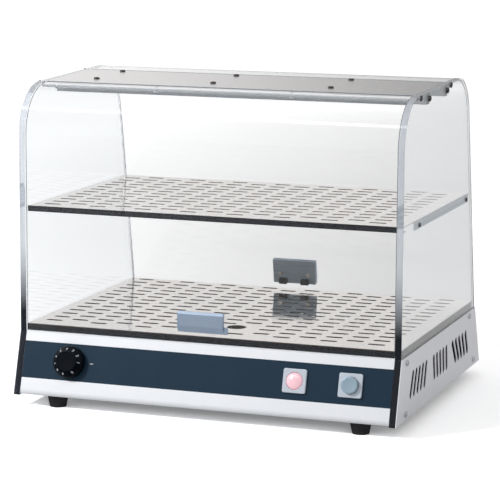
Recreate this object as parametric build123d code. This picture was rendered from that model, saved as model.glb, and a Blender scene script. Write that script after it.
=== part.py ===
from build123d import *
import math
import os

# The countertop heated display case, in millimetres.
# X runs to the right, Y from the front to the back, Z up from the table.
# Y = 0 is the upright front edge of the clear side panels.

# Overall sizes
inner_width = 484.0
side_panel_thickness = 8.0
side_cover_thickness = 1.0
foot_height = 16.0
base_height = 78.0
depth_at_base_top = 361.3
front_flare = 23.2
rear_flare = 28.4
window_height = 311.5
rear_lean = 58.8
top_slope = 0.0272
top_slope_start_y = 64.0
front_arc_radius = 62.0
rear_arc_radius = 56.0

# Sheet metal
sheet = 1.2
trim_sheet = 1.5
ledge_rise = 1.4
ledge_depth = 14.0
sheet_edge_gap = 0.3

# Front face, measured down the slope from the upright edge
upper_band_bottom = 11.7
navy_panel_bottom = 58.5
roll_radius = 6.0
upstand = 16.0
control_line = 35.0

# Deck and shelf
deck_front_y = 4.1
deck_rear_gap = 8.3
deck_frame_height = 7.7
deck_frame_wall = 1.5
deck_frame_ledge = 12.0
deck_frame_ledge_thickness = 1.2
deck_side_gap = 0.5
perforated_sheet = 1.0
deck_lip_height = 5.0
deck_lip_gap = 0.6
finger_hole_x = 14.7
finger_hole_y = 73.0
finger_hole_radius = 12.2
shelf_top_height = 253.9
shelf_front_y = 7.0
shelf_rear_gap = 39.3
shelf_side_gap = 0.7
shelf_trim_height = 7.1
shelf_trim_wall = 1.2
shelf_trim_return = 10.0

# Slots of the deck and the shelf
slot_length = 22.0
slot_width = 7.0
slot_column_pitch = 30.5
slot_row_pitch = 24.0
slot_columns = 15
slot_shift_x = -4.0
deck_first_slot_y = 33.0
shelf_first_slot_y = 30.5
slot_rear_margin = 7.9

# Shelf brackets
bracket_leg = 10.0
bracket_thickness = 1.5
bracket_front_y = 55.0
bracket_rear_inset = 4.0
bracket_screw_front_y = 71.0
bracket_screw_rear_inset = 20.0

# Top plate and its rails
top_lip_height = 8.0
top_end_gap = 0.4
rail_size = 14.0
rail_wall = 1.5
front_rail_y = 107.0
rear_rail_setback = 16.0
rail_screw_bite = 10.0
top_screw_bite = 4.0
rail_block_length = 12.0
top_screw_xs = (-190.0, -31.0, 124.0)

# Hinged panes
pane_thickness = 3.0
pane_inset = 0.5
pane_side_gap = 1.0
pane_bottom_gap = 0.4
hinge_axis_drop = 3.2
hinge_barrel_radius = 3.2
hinge_barrel_gap = 0.3
front_hinge_y = 66.0
rear_hinge_setback = 93.5
hinge_profile_reach = 12.0
hinge_profile_drop = 7.2
pane_seat_gap = 0.1
hinge_pin_diameter = 4.0
hinge_pin_clearance = 0.05
hinge_pin_depth = 10.0
pane_screw_xs = (-89.0, 89.0)
pane_screw_reach = 6.5
pane_screw_bite = 2.0

# Pane handles
handle_width = 60.0
handle_depth = 5.0
handle_bevel = 2.5
handle_chamfer_height = 8.0
handle_chamfer_depth = 2.2
front_handle_x = -6.0
rear_handle_x = -1.0
front_handle_height = 25.6
front_handle_rise = 13.3
rear_handle_height = 33.0
rear_handle_rise = 17.5
front_lug_width = 5.0
front_lug_height = 9.0
front_lug_depth = 3.0
clamp_thickness = 3.0
clamp_groove_depth = 0.9
clamp_groove_width = 1.6
clamp_groove_heights = (14.0, 25.0)
bumper_width = 10.5
bumper_height = 7.0
bumper_thickness = 5.5
bumper_spacing = 31.0
handle_screw_spacing = 40.0
handle_screw_rise = 13.0
handle_screw_bite = 3.5
countersink_depth = 1.8

# Side cover louvres, as groups of (top y, bottom y) of the first and the last slot
louvre_top_height = 72.0
louvre_bottom_height = 38.0
louvre_slot_width = 9.5
louvre_slots = 5
louvre_groups = (((52.0, 41.0), (113.0, 105.5)), ((149.0, 154.0), (211.0, 214.0)),
                 ((243.0, 260.0), (311.0, 322.0)))
louvre_clearance = 1.0

# Screws
screw_crown_share = 0.45
screw_diameter = 4.0
screw_head_diameter = 7.6
screw_head_height = 2.2
small_screw_diameter = 3.0
small_screw_head_diameter = 5.6
small_screw_head_height = 1.6
cover_screw_places = ((21.7, 86.5), (depth_at_base_top - 32.0, 87.5),
                      (depth_at_base_top - 6.1, 24.0), (18.0, 24.0))
rear_screw_xs = (-225.0, 0.0, 225.0)
rear_screw_height = 26.0

# Controls on the front face
knob_x = -177.5
knob_diameter = 40.5
knob_face_diameter = 27.0
knob_rim_height = 8.0
knob_height = 14.5
knob_gap = 0.8
knob_recess_diameter = 22.0
knob_recess_depth = 5.0
knob_socket_depth = 12.0
knob_edge_round = 0.6
shaft_diameter = 6.0
shaft_flat_depth = 1.5
shaft_clearance = 0.05
shaft_bite = 12.0
bush_diameter = 10.0
bush_reach = 3.5
bush_nut_height = 2.5
bush_nut_flats = 14.0
thermostat_width = 38.0
thermostat_height = 34.0
thermostat_depth = 24.0
thermostat_tab_spacing = 20.0
pilot_x = 119.5
switch_x = 190.3
bezel_size = 29.6
bezel_height = 3.0
bezel_bevel = 0.6
bezel_corner = 2.5
barrel_diameter = 24.0
barrel_bore = 21.6
barrel_depth = 14.0
lens_diameter = 20.0
lens_flange_diameter = 21.2
lens_flange_height = 2.0
lens_seat_depth = 2.0
lens_rise = 3.5
lens_dome_height = 3.0
button_diameter = 21.0
button_rise = 8.0
button_depth = 6.0
button_edge_round = 1.2
button_travel = 3.0
button_stop_gap = 0.5
control_body_depth = 30.0
control_nut_diameter = 30.0
control_nut_height = 4.0
control_tab_spacing = 11.0
tab_length = 8.0
tab_width = 6.3
tab_thickness = 0.8

# Feet
foot_x = 200.0
foot_setback = 25.0
foot_top_diameter = 28.0
foot_bottom_diameter = 21.0
foot_recess_diameter = 11.0
foot_recess_depth = 10.0
foot_screw_bite = 3.0
return_depth = 45.0

# Heating
tray_bottom = 40.0
tray_sheet = 0.8
tray_wall_height = 12.0
tray_half_width = 205.0
tray_front_y = 75.0
tray_rear_gap = 36.3
post_diameter = 10.0
post_inset = 18.0
element_diameter = 6.5
element_height = 66.0
element_turn_x = 190.0
element_start_x = -215.0
element_front_margin = 37.0
element_rear_margin = 39.0
element_legs = 4
element_bend = 24.0
element_terminal_diameter = 4.0
element_terminal_length = 10.0
clip_xs = (-110.0, 110.0)
clip_sheet = 1.5
clip_margin = 10.0
clip_top_margin = 5.0
bulb_diameter = 6.0
bulb_start_x = -125.0
bulb_length = 80.0
bulb_rise = 13.0
bulb_lug_width = 16.0
capillary_diameter = 1.6
capillary_x = -228.0
capillary_y = 60.0
capillary_bend = 8.0
capillary_bite = 4.0

# Supply
inlet_from_tray_end = 55.0
inlet_down = 45.0
inlet_flange_width = 50.0
inlet_flange_height = 25.0
inlet_flange_thickness = 2.5
inlet_body_width = 27.6
inlet_body_height = 20.4
inlet_body_depth = 24.0
inlet_socket_width = 24.4
inlet_socket_height = 16.6
inlet_socket_depth = 16.0
inlet_pin_width = 2.0
inlet_pin_height = 4.0
inlet_pin_length = 12.0
inlet_pin_pitch = 7.0
inlet_screw_spacing = 40.0
vent_slots = 8
vent_pitch = 16.0
vent_length = 34.0
vent_width = 5.0
vent_centre_x = 60.0
block_length = 44.0
block_width = 18.0
block_height = 16.0
block_rear_gap = 61.3
block_port_pitch = 9.0
lead_diameter = 2.4
lead_bend = 4.0
lead_height = 27.0
low_lead_height = 22.0
lead_turn_y = 48.0
lead_spacing = 4.0
lead_side_x = 233.0

# Derived places
half_inner = inner_width / 2
panel_outer = half_inner + side_panel_thickness
case_outer = panel_outer + side_cover_thickness
base_bottom = foot_height
flare_height = base_bottom + base_height
base_top = flare_height + ledge_rise
top_height = flare_height + window_height
front_angle = math.atan2(front_flare, base_height)
rear_angle = math.atan2(rear_flare, base_height)
lean_slope = rear_lean / window_height
lean_angle = math.atan(lean_slope)
slope_angle = math.atan(top_slope)
deck_plate_bottom = base_top + deck_frame_height
rear_hinge_y = depth_at_base_top - rear_lean - rear_hinge_setback
rear_rail_y = rear_hinge_y - rear_rail_setback
front_lip_y = front_hinge_y + hinge_barrel_radius + hinge_barrel_gap
rear_lip_y = rear_hinge_y - hinge_barrel_radius - hinge_barrel_gap
pane_side = half_inner - pane_side_gap
deck_rear_y = depth_at_base_top - deck_rear_gap
shelf_rear_y = depth_at_base_top - shelf_rear_gap
bracket_rear_y = shelf_rear_y - bracket_rear_inset
bracket_screw_rear_y = shelf_rear_y - bracket_screw_rear_inset
tray_rear_y = depth_at_base_top - tray_rear_gap
element_front_y = tray_front_y + element_front_margin
element_pitch = (tray_rear_y - element_rear_margin - element_front_y) / (element_legs - 1)
inlet_x = inlet_from_tray_end - tray_half_width
block_y = depth_at_base_top - block_rear_gap


def top_surface(y):
    """Height of the side panels' top edge at a given depth."""
    return top_height + (y - top_slope_start_y) * top_slope


def on_front_face(down, out=0.0):
    """Depth and height of a point on the sloping front face, down from its top edge."""
    y = -down * math.sin(front_angle) - out * math.cos(front_angle)
    z = flare_height - down * math.cos(front_angle) + out * math.sin(front_angle)
    return (y, z)


def on_rear_face(down, out=0.0):
    """Depth and height of a point on the flared rear of the base, down from its top edge."""
    y = depth_at_base_top + down * math.sin(rear_angle) + out * math.cos(rear_angle)
    z = flare_height - down * math.cos(rear_angle) + out * math.sin(rear_angle)
    return (y, z)


def behind_front(z, depth):
    """Depth of the point that lies a given distance behind the front face, at a height."""
    return -(flare_height - z) * math.tan(front_angle) + depth / math.cos(front_angle)


def behind_rear(z, depth):
    """Depth of the point that lies a given distance inside the flared rear, at a height."""
    return depth_at_base_top + (flare_height - z) * math.tan(rear_angle) - depth / math.cos(rear_angle)


def front_plane(x, down):
    """Plane on the front face whose normal points out of the case."""
    y, z = on_front_face(down)
    normal = (0, -math.cos(front_angle), math.sin(front_angle))
    return Plane(origin=(x, y, z), x_dir=(1, 0, 0), z_dir=normal)


def rear_plane(x, down):
    """Plane on the flared rear face whose normal points out of the case."""
    y, z = on_rear_face(down)
    normal = (0, math.cos(rear_angle), math.sin(rear_angle))
    return Plane(origin=(x, y, z), x_dir=(-1, 0, 0), z_dir=normal)


def block(x0, x1, y0, y1, z0, z1):
    """Box between two corners."""
    centre = ((x0 + x1) / 2, (y0 + y1) / 2, (z0 + z1) / 2)
    return Pos(*centre) * Box(x1 - x0, y1 - y0, z1 - z0)


def prism_x(profile, x0, x1):
    """Solid of a (y, z) profile, a list of points or a face, drawn out from x0 to x1."""
    face = polygon(*profile) if isinstance(profile, list) else profile
    return extrude(Plane.YZ.offset(x0) * face, x1 - x0)


def rod(start, direction, radius, length):
    """Round bar from a start point along a direction."""
    return Plane(origin=start, z_dir=direction) * Cylinder(
        radius, length, align=(Align.CENTER, Align.CENTER, Align.MIN))


def pan_screw(seat, inward, length, diameter, head_diameter, head_height):
    """Screw whose head sits on a surface at a point and whose shank runs inward."""
    outward = tuple(-c for c in inward)
    shank = rod(seat, inward, diameter / 2, length)
    head = rod(seat, outward, head_diameter / 2, head_height)
    crown = head.faces().sort_by(Axis(seat, outward))[-1].edges()
    return fillet(crown, head_height * screw_crown_share) + shank


def large_screw(seat, inward, length):
    """Pan-head screw of the larger size."""
    return pan_screw(seat, inward, length, screw_diameter, screw_head_diameter, screw_head_height)


def small_screw(seat, inward, length):
    """Pan-head screw of the smaller size."""
    return pan_screw(seat, inward, length, small_screw_diameter, small_screw_head_diameter,
                     small_screw_head_height)


def rounded_tube(points, radius, bend):
    """Round wire or tube along straight runs joined by tangent arcs."""
    path = FilletPolyline(*points, radius=bend)
    start = path @ 0
    section = Plane(origin=start, z_dir=path % 0) * Circle(radius)
    return sweep(section, path=path)


def cut(piece, *tools):
    """Piece with the screws, pins or openings taken out of it."""
    for tool in tools:
        for solid in tool.solids():
            piece = piece - solid
    return piece


def mirrored(piece):
    """Copy of a piece on the other side of the case."""
    return mirror(piece, about=Plane.YZ)


def polygon(*corners):
    """Flat face of a list of corners."""
    return make_face(Polyline(*corners, close=True))


def round_corner(face, corner, radius):
    """Face with the corner nearest to a point rounded."""
    vertex = min(face.vertices(), key=lambda v: math.dist((v.X, v.Y), corner))
    return fillet(vertex, radius)


def case_outline():
    """Face of the side panel in depth and height, arcs included."""
    front_corner = (0, top_surface(0))
    rear_corner_y = ((depth_at_base_top - lean_slope * (top_surface(0) - flare_height))
                     / (1 + lean_slope * top_slope))
    rear_corner = (rear_corner_y, top_surface(rear_corner_y))
    face = polygon((-front_flare, base_bottom), (0, flare_height), front_corner, rear_corner,
                   (depth_at_base_top, flare_height), (depth_at_base_top + rear_flare, base_bottom))
    face = round_corner(face, front_corner, front_arc_radius)
    return round_corner(face, rear_corner, rear_arc_radius)


outline = case_outline()

# Fasteners

cover_screws = []
for side in (1, -1):
    for y, z in cover_screw_places:
        seat = (side * case_outer, y, z)
        length = side_cover_thickness + side_panel_thickness + sheet
        cover_screws.append(large_screw(seat, (-side, 0, 0), length))
side_cover_screws = Compound(cover_screws)


def rail_centre_z(y):
    """Height of a rail's centre line, just under the top plate."""
    return top_surface(y) - (sheet + rail_size / 2) / math.cos(slope_angle)


rail_screws = []
for side in (1, -1):
    for rail_y in (front_rail_y, rear_rail_y):
        seat = (side * panel_outer, rail_y, rail_centre_z(rail_y))
        length = side_panel_thickness + rail_screw_bite
        rail_screws.append(large_screw(seat, (-side, 0, 0), length))
rail_end_screws = Compound(rail_screws)

bracket_bottom_z = shelf_top_height - perforated_sheet - bracket_leg
bracket_screw_z = bracket_bottom_z + bracket_leg / 2
shelf_screws = []
for side in (1, -1):
    for y in (bracket_screw_front_y, bracket_screw_rear_y):
        seat = (side * panel_outer, y, bracket_screw_z)
        length = side_panel_thickness + bracket_thickness
        shelf_screws.append(small_screw(seat, (-side, 0, 0), length))
shelf_bracket_screws = Compound(shelf_screws)


def hinge_axis_z(y):
    """Height of a pane's hinge axis under the top edge."""
    return top_surface(y) - hinge_axis_drop


pins = []
for side in (1, -1):
    for y in (front_hinge_y, rear_hinge_y):
        seat = (side * panel_outer, y, hinge_axis_z(y))
        pins.append(large_screw(seat, (-side, 0, 0), side_panel_thickness + hinge_pin_depth))
hinge_pins = Compound(pins)

# Clear side panels and their covers


def louvre_slot(top_y, bottom_y, x0, x1, spare):
    """One slanting slot with round ends, cut from x0 to x1."""
    ends = ((top_y, louvre_top_height - louvre_slot_width / 2),
            (bottom_y, louvre_bottom_height + louvre_slot_width / 2))
    face = SlotCenterToCenter(math.dist(*ends), louvre_slot_width + 2 * spare)
    tilt = math.degrees(math.atan2(ends[0][1] - ends[1][1], ends[0][0] - ends[1][0]))
    centre = ((ends[0][0] + ends[1][0]) / 2, (ends[0][1] + ends[1][1]) / 2)
    return extrude(Plane.YZ.offset(x0) * Pos(*centre) * Rot(0, 0, tilt) * face, x1 - x0)


def louvres(x0, x1, spare=0.0):
    """All the slots of one side, group by group, wider by a spare margin all round."""
    slots = []
    for first, last in louvre_groups:
        for index in range(louvre_slots):
            part = index / (louvre_slots - 1)
            top_y = first[0] + (last[0] - first[0]) * part
            bottom_y = first[1] + (last[1] - first[1]) * part
            slots.append(louvre_slot(top_y, bottom_y, x0, x1, spare))
    return Compound(slots)


side_panel_right = prism_x(outline, half_inner, panel_outer)
side_panel_right = cut(side_panel_right, louvres(half_inner, panel_outer, louvre_clearance),
                       side_cover_screws, rail_end_screws, shelf_bracket_screws, hinge_pins)
side_panel_left = mirrored(side_panel_right)

cover_profile = [(-front_flare, base_bottom), (0, flare_height), (depth_at_base_top, flare_height),
                 (depth_at_base_top + rear_flare, base_bottom)]
side_cover_right = prism_x(cover_profile, panel_outer, case_outer)
side_cover_right = cut(side_cover_right, louvres(panel_outer, case_outer), side_cover_screws)
side_cover_left = mirrored(side_cover_right)

# Base: a folded pan, a flared rear panel and three front pieces

band_x = half_inner - sheet_edge_gap
pan_bottom_z = base_bottom + trim_sheet
pan_top_z = base_top - sheet
pan_wall_x = half_inner - sheet
inner_roll = roll_radius - trim_sheet


def pan_face(inset, top_z):
    """Section of the pan's space, set in from its outer skin."""
    depth = trim_sheet + inset
    bottom = pan_bottom_z + inset
    front = (behind_front(bottom, depth), bottom)
    rear = (behind_rear(bottom, depth), bottom)
    face = polygon((behind_front(top_z, depth), top_z), front, rear,
                   (behind_rear(top_z, depth), top_z))
    face = round_corner(face, front, inner_roll - inset)
    return round_corner(face, rear, inner_roll - inset)


pan_rim_z = pan_top_z - trim_sheet
case_rear = depth_at_base_top + rear_flare
base_pan = prism_x(pan_face(0, pan_rim_z), -half_inner, half_inner)
base_pan -= prism_x(pan_face(sheet, pan_top_z), -pan_wall_x, pan_wall_x)
base_pan -= block(-pan_wall_x, pan_wall_x, depth_at_base_top - return_depth, case_rear,
                  pan_bottom_z + upstand, base_top)

upper_band_profile = [on_front_face(0), on_front_face(upper_band_bottom),
                      on_front_face(upper_band_bottom, -trim_sheet),
                      (behind_front(pan_top_z, trim_sheet), pan_top_z),
                      (ledge_depth, pan_top_z), (ledge_depth, base_top), (0, base_top)]
upper_front_band = prism_x(upper_band_profile, -band_x, band_x)

control_panel = prism_x([on_front_face(upper_band_bottom), on_front_face(navy_panel_bottom),
                         on_front_face(navy_panel_bottom, -trim_sheet),
                         on_front_face(upper_band_bottom, -trim_sheet)], -band_x, band_x)


def folded_sheet(outer_start, inner_start, outer_corner, inner_corner, return_y):
    """Face of a sheet that runs down a flared wall and folds under the base."""
    face = polygon(outer_start, outer_corner, (return_y, base_bottom), (return_y, pan_bottom_z),
                   inner_corner, inner_start)
    face = round_corner(face, outer_corner, roll_radius)
    return round_corner(face, inner_corner, inner_roll)


lower_front_band = prism_x(folded_sheet(
    on_front_face(navy_panel_bottom), on_front_face(navy_panel_bottom, -trim_sheet),
    (-front_flare, base_bottom), (behind_front(pan_bottom_z, trim_sheet), pan_bottom_z),
    return_depth - front_flare), -band_x, band_x)

rear_wall = prism_x(folded_sheet(
    (depth_at_base_top, flare_height), (behind_rear(flare_height, trim_sheet), flare_height),
    (case_rear, base_bottom), (behind_rear(pan_bottom_z, trim_sheet), pan_bottom_z),
    case_rear - return_depth), -band_x, band_x)
rear_ledge = prism_x([(depth_at_base_top, flare_height), (depth_at_base_top, base_top),
                      (depth_at_base_top - ledge_depth, base_top),
                      (depth_at_base_top - ledge_depth, pan_top_z),
                      (behind_rear(flare_height, trim_sheet), pan_top_z),
                      (behind_rear(flare_height, trim_sheet), flare_height)], -band_x, band_x)
base_rear_panel = rear_wall + rear_ledge

rear_screws = []
rear_screw_down = (flare_height - rear_screw_height) / math.cos(rear_angle)
for x in rear_screw_xs:
    place = rear_plane(x, rear_screw_down)
    rear_screws.append(small_screw(tuple(place.origin), tuple(-place.z_dir), trim_sheet + sheet))
base_rear_screws = Compound(rear_screws)

# Deck: a black frame on the base's ledges and a perforated plate that lies on it

frame_x = half_inner - sheet_edge_gap
deck_frame = block(-frame_x, frame_x, deck_front_y, deck_rear_y, base_top, deck_plate_bottom)
deck_frame -= block(-frame_x + deck_frame_wall, frame_x - deck_frame_wall,
                    deck_front_y + deck_frame_wall, deck_rear_y - deck_frame_wall,
                    base_top + deck_frame_ledge_thickness, deck_plate_bottom)
deck_frame -= block(-frame_x + deck_frame_ledge, frame_x - deck_frame_ledge,
                    deck_front_y + deck_frame_ledge, deck_rear_y - deck_frame_ledge,
                    base_top, deck_plate_bottom)


def slot_places(first_y, last_y):
    """Slot centres of a perforated plate, every other column shifted by half a pitch."""
    places = []
    for column in range(slot_columns):
        x = slot_shift_x + (column - (slot_columns - 1) / 2) * slot_column_pitch
        y = first_y + (column % 2) * slot_row_pitch / 2
        while y <= last_y:
            places.append((x, y))
            y += slot_row_pitch
    return places


def perforated_plate(half_width, front_y, rear_y, top_z, places, hole=None):
    """Flat plate with rows of slots and an optional round hole with a bare rim."""
    face = Pos(0, (front_y + rear_y) / 2) * Rectangle(2 * half_width, rear_y - front_y)
    cuts = []
    for x, y in places:
        bare = hole and math.hypot(max(abs(x - hole[0]) - slot_length / 2, 0),
                                   y - hole[1]) < hole[2] + slot_width
        if not bare:
            cuts.append(Pos(x, y) * SlotOverall(slot_length, slot_width))
    if hole:
        cuts.append(Pos(hole[0], hole[1]) * Circle(hole[2]))
    face = face - cuts
    return extrude(Plane.XY.offset(top_z - perforated_sheet) * face, perforated_sheet)


deck_top_z = deck_plate_bottom + perforated_sheet
deck_half = half_inner - deck_side_gap
deck_plate = perforated_plate(
    deck_half, deck_front_y, deck_rear_y, deck_top_z,
    slot_places(deck_first_slot_y, deck_rear_y - slot_rear_margin),
    (finger_hole_x, finger_hole_y, finger_hole_radius))
lip_x = frame_x - deck_frame_wall - deck_lip_gap
lip_front = deck_front_y + deck_frame_wall + deck_lip_gap
lip_rear = deck_rear_y - deck_frame_wall - deck_lip_gap
deck_lip = block(-lip_x, lip_x, lip_front, lip_rear, deck_plate_bottom - deck_lip_height,
                 deck_plate_bottom)
deck_lip -= block(-lip_x + perforated_sheet, lip_x - perforated_sheet,
                  lip_front + perforated_sheet, lip_rear - perforated_sheet,
                  deck_plate_bottom - deck_lip_height, deck_plate_bottom)
deck_plate += deck_lip

# Shelf: a perforated plate with a black front trim, lying on two angle brackets

shelf_half = half_inner - shelf_side_gap
shelf_bottom_z = shelf_top_height - perforated_sheet
shelf_plate = perforated_plate(
    shelf_half, shelf_front_y + shelf_trim_wall, shelf_rear_y, shelf_top_height,
    slot_places(shelf_first_slot_y, shelf_rear_y - slot_rear_margin))
trim_bottom_z = shelf_top_height - shelf_trim_height
shelf_front_trim = prism_x([
    (shelf_front_y, shelf_top_height), (shelf_front_y, trim_bottom_z),
    (shelf_front_y + shelf_trim_return, trim_bottom_z),
    (shelf_front_y + shelf_trim_return, trim_bottom_z + shelf_trim_wall),
    (shelf_front_y + 2 * shelf_trim_wall, trim_bottom_z + shelf_trim_wall),
    (shelf_front_y + 2 * shelf_trim_wall, shelf_bottom_z),
    (shelf_front_y + shelf_trim_wall, shelf_bottom_z),
    (shelf_front_y + shelf_trim_wall, shelf_top_height)], -shelf_half, shelf_half)

shelf_bracket_right = block(half_inner - bracket_leg, half_inner, bracket_front_y, bracket_rear_y,
                            shelf_bottom_z - bracket_thickness, shelf_bottom_z)
shelf_bracket_right += block(half_inner - bracket_thickness, half_inner, bracket_front_y,
                             bracket_rear_y, bracket_bottom_z, shelf_bottom_z)
shelf_bracket_right = cut(shelf_bracket_right, shelf_bracket_screws)
shelf_bracket_left = mirrored(shelf_bracket_right)

# Top plate on two square rails

top_x = half_inner - top_end_gap
top_profile = [(front_lip_y, top_surface(front_lip_y)), (rear_lip_y, top_surface(rear_lip_y)),
               (rear_lip_y, top_surface(rear_lip_y) - top_lip_height),
               (rear_lip_y - sheet, top_surface(rear_lip_y) - top_lip_height),
               (rear_lip_y - sheet, top_surface(rear_lip_y - sheet) - sheet),
               (front_lip_y + sheet, top_surface(front_lip_y + sheet) - sheet),
               (front_lip_y + sheet, top_surface(front_lip_y) - top_lip_height),
               (front_lip_y, top_surface(front_lip_y) - top_lip_height)]
top_plate = prism_x(top_profile, -top_x, top_x)

top_fixings = []
down = (0, math.sin(slope_angle), -math.cos(slope_angle))
for rail_y in (front_rail_y, rear_rail_y):
    for x in top_screw_xs:
        seat = (x, rail_y, top_surface(rail_y))
        top_fixings.append(large_screw(seat, down, sheet + rail_wall + top_screw_bite))
top_screws = Compound(top_fixings)
top_plate = cut(top_plate, top_screws)


def tilted_square(y, size):
    """Square section centred on a rail's line and tilted with the top plate."""
    tilt = math.degrees(slope_angle)
    return Pos(y, rail_centre_z(y)) * Rot(0, 0, tilt) * Rectangle(size, size)


def rail(y):
    """Square tube across the case."""
    tube = prism_x(tilted_square(y, rail_size) - tilted_square(y, rail_size - 2 * rail_wall),
                   -half_inner, half_inner)
    return cut(tube, top_screws)


front_rail = rail(front_rail_y)
rear_rail = rail(rear_rail_y)
end_blocks = []
for rail_y in (front_rail_y, rear_rail_y):
    plug = prism_x(tilted_square(rail_y, rail_size - 2 * rail_wall),
                   half_inner - rail_block_length, half_inner)
    plug = cut(plug, rail_end_screws)
    end_blocks += [plug, mirrored(plug)]
rail_end_blocks = Compound(end_blocks)

# Hinged panes in front and behind, each on an aluminium hinge profile

pane_bottom_z = base_top + pane_bottom_gap
pane_skin = offset(outline, amount=-pane_inset, kind=Kind.INTERSECTION)
pane_core = offset(outline, amount=-pane_inset - pane_thickness, kind=Kind.INTERSECTION)
seat_core = offset(outline, amount=-pane_inset - pane_thickness - pane_seat_gap,
                   kind=Kind.INTERSECTION)
pane_end = hinge_barrel_radius + hinge_barrel_gap
sky_z = top_height + front_arc_radius


def region(y0, y1, z0, z1):
    """Rectangle between two corners, in depth and height."""
    return Pos((y0 + y1) / 2, (z0 + z1) / 2) * Rectangle(y1 - y0, z1 - z0)


front_pane_face = (pane_skin - pane_core) & region(
    -front_flare, front_hinge_y - pane_end, pane_bottom_z, sky_z)
rear_pane_face = (pane_skin - pane_core) & region(
    rear_hinge_y + pane_end, case_rear, pane_bottom_z, sky_z)


def hinge_profile_face(axis_y, toward):
    """Section of a hinge profile: a barrel on the axis and a ledge under the pane."""
    axis_z = hinge_axis_z(axis_y)
    far_y = axis_y + toward * hinge_profile_reach
    low_z = top_surface(axis_y) - hinge_profile_drop
    ledge = region(min(axis_y, far_y), max(axis_y, far_y), low_z, axis_z) & seat_core
    return ledge + Pos(axis_y, axis_z) * Circle(hinge_barrel_radius)


def hinge_profile(axis_y, toward):
    """Hinge profile with a bore for the pin in each end."""
    profile = prism_x(hinge_profile_face(axis_y, toward), -pane_side, pane_side)
    bore_radius = hinge_pin_diameter / 2 + hinge_pin_clearance
    for side in (1, -1):
        mouth = (side * pane_side, axis_y, hinge_axis_z(axis_y))
        profile -= rod(mouth, (-side, 0, 0), bore_radius, hinge_pin_depth + pane_side_gap)
    return profile


def pane_fixings(axis_y, toward):
    """Screws up through the ledge into the pane."""
    low_z = top_surface(axis_y) - hinge_profile_drop
    y = axis_y + toward * pane_screw_reach
    seat_gap = hinge_profile_drop - pane_inset - pane_thickness
    return Compound([small_screw((x, y, low_z), (0, 0, 1), seat_gap + pane_screw_bite)
                     for x in pane_screw_xs])


front_pane_screws = pane_fixings(front_hinge_y, -1)
rear_pane_screws = pane_fixings(rear_hinge_y, 1)
front_hinge_profile = cut(hinge_profile(front_hinge_y, -1), front_pane_screws)
rear_hinge_profile = cut(hinge_profile(rear_hinge_y, 1), rear_pane_screws)

# Pane handles, drawn on planes that lie on the panes' outer faces, local Y up

front_pane_plane = Plane(origin=(front_handle_x, pane_inset, pane_bottom_z), x_dir=(1, 0, 0),
                         z_dir=(0, -1, 0))
rear_origin_y = (depth_at_base_top - (pane_bottom_z - flare_height) * lean_slope
                 - pane_inset / math.cos(lean_angle))
rear_pane_plane = Plane(origin=(rear_handle_x, rear_origin_y, pane_bottom_z), x_dir=(-1, 0, 0),
                        z_dir=(0, math.cos(lean_angle), math.sin(lean_angle)))


def handle_body(rise, height):
    """Flat pull, bevelled along its top and drawn in at its foot, in local terms."""
    profile = [(rise, 0), (rise, handle_depth - handle_chamfer_depth),
               (rise + handle_chamfer_height, handle_depth),
               (rise + height - handle_bevel, handle_depth),
               (rise + height, handle_depth - handle_bevel), (rise + height, 0)]
    return prism_x(profile, -handle_width / 2, handle_width / 2)


def handle_screw(x, rise, length):
    """Countersunk screw from the inner side, flush with the face it sits in."""
    head_radius = small_screw_head_diameter / 2
    shank_radius = small_screw_diameter / 2
    head = Pos(x, rise, 0) * Cone(head_radius, shank_radius, countersink_depth,
                                  align=(Align.CENTER, Align.CENTER, Align.MIN))
    shank = Pos(x, rise, countersink_depth) * Cylinder(
        shank_radius, length - countersink_depth, align=(Align.CENTER, Align.CENTER, Align.MIN))
    return head + shank


def handle_screws(place, rise, inner_face):
    """Two screws of a handle, from the inner face out into the pull."""
    screws = []
    for x in (-handle_screw_spacing / 2, handle_screw_spacing / 2):
        screw = handle_screw(x, rise + handle_screw_rise, inner_face + handle_screw_bite)
        screws.append(place * Pos(0, 0, -inner_face) * screw)
    return Compound(screws)


front_handle_screws = handle_screws(front_pane_plane, front_handle_rise, pane_thickness)
lug_start = handle_width / 2
front_lug = block(lug_start, lug_start + front_lug_width, front_handle_rise,
                  front_handle_rise + front_lug_height, 0, front_lug_depth)
front_handle = front_pane_plane * (handle_body(front_handle_rise, front_handle_height) + front_lug)
front_handle = cut(front_handle, front_handle_screws)

rear_clamp_face = pane_thickness + clamp_thickness
rear_handle_screws = handle_screws(rear_pane_plane, rear_handle_rise, rear_clamp_face)
rear_handle = rear_pane_plane * handle_body(rear_handle_rise, rear_handle_height)
rear_handle = cut(rear_handle, rear_handle_screws)

clamp_half = handle_width / 2
clamp_local = block(-clamp_half, clamp_half, rear_handle_rise,
                    rear_handle_rise + rear_handle_height, -rear_clamp_face, -pane_thickness)
for groove_rise in clamp_groove_heights:
    groove_y = rear_handle_rise + groove_rise
    clamp_local -= block(-clamp_half, clamp_half, groove_y - clamp_groove_width / 2,
                         groove_y + clamp_groove_width / 2, -rear_clamp_face,
                         -rear_clamp_face + clamp_groove_depth)
rear_handle_clamp = cut(rear_pane_plane * clamp_local, rear_handle_screws)

bumpers = []
for x in (-bumper_spacing / 2, bumper_spacing / 2):
    bumper = block(x - bumper_width / 2, x + bumper_width / 2, rear_handle_rise,
                   rear_handle_rise + bumper_height, -rear_clamp_face - bumper_thickness,
                   -rear_clamp_face)
    bumpers.append(rear_pane_plane * bumper)
rear_handle_bumpers = Compound(bumpers)

front_pane = cut(prism_x(front_pane_face, -pane_side, pane_side), front_pane_screws,
                 front_handle_screws)
rear_pane = cut(prism_x(rear_pane_face, -pane_side, pane_side), rear_pane_screws,
                rear_handle_screws)

# Thermostat and its knob

wall_depth = trim_sheet + sheet
knob_plane = front_plane(knob_x, control_line)
up = (Align.CENTER, Align.CENTER, Align.MIN)

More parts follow.
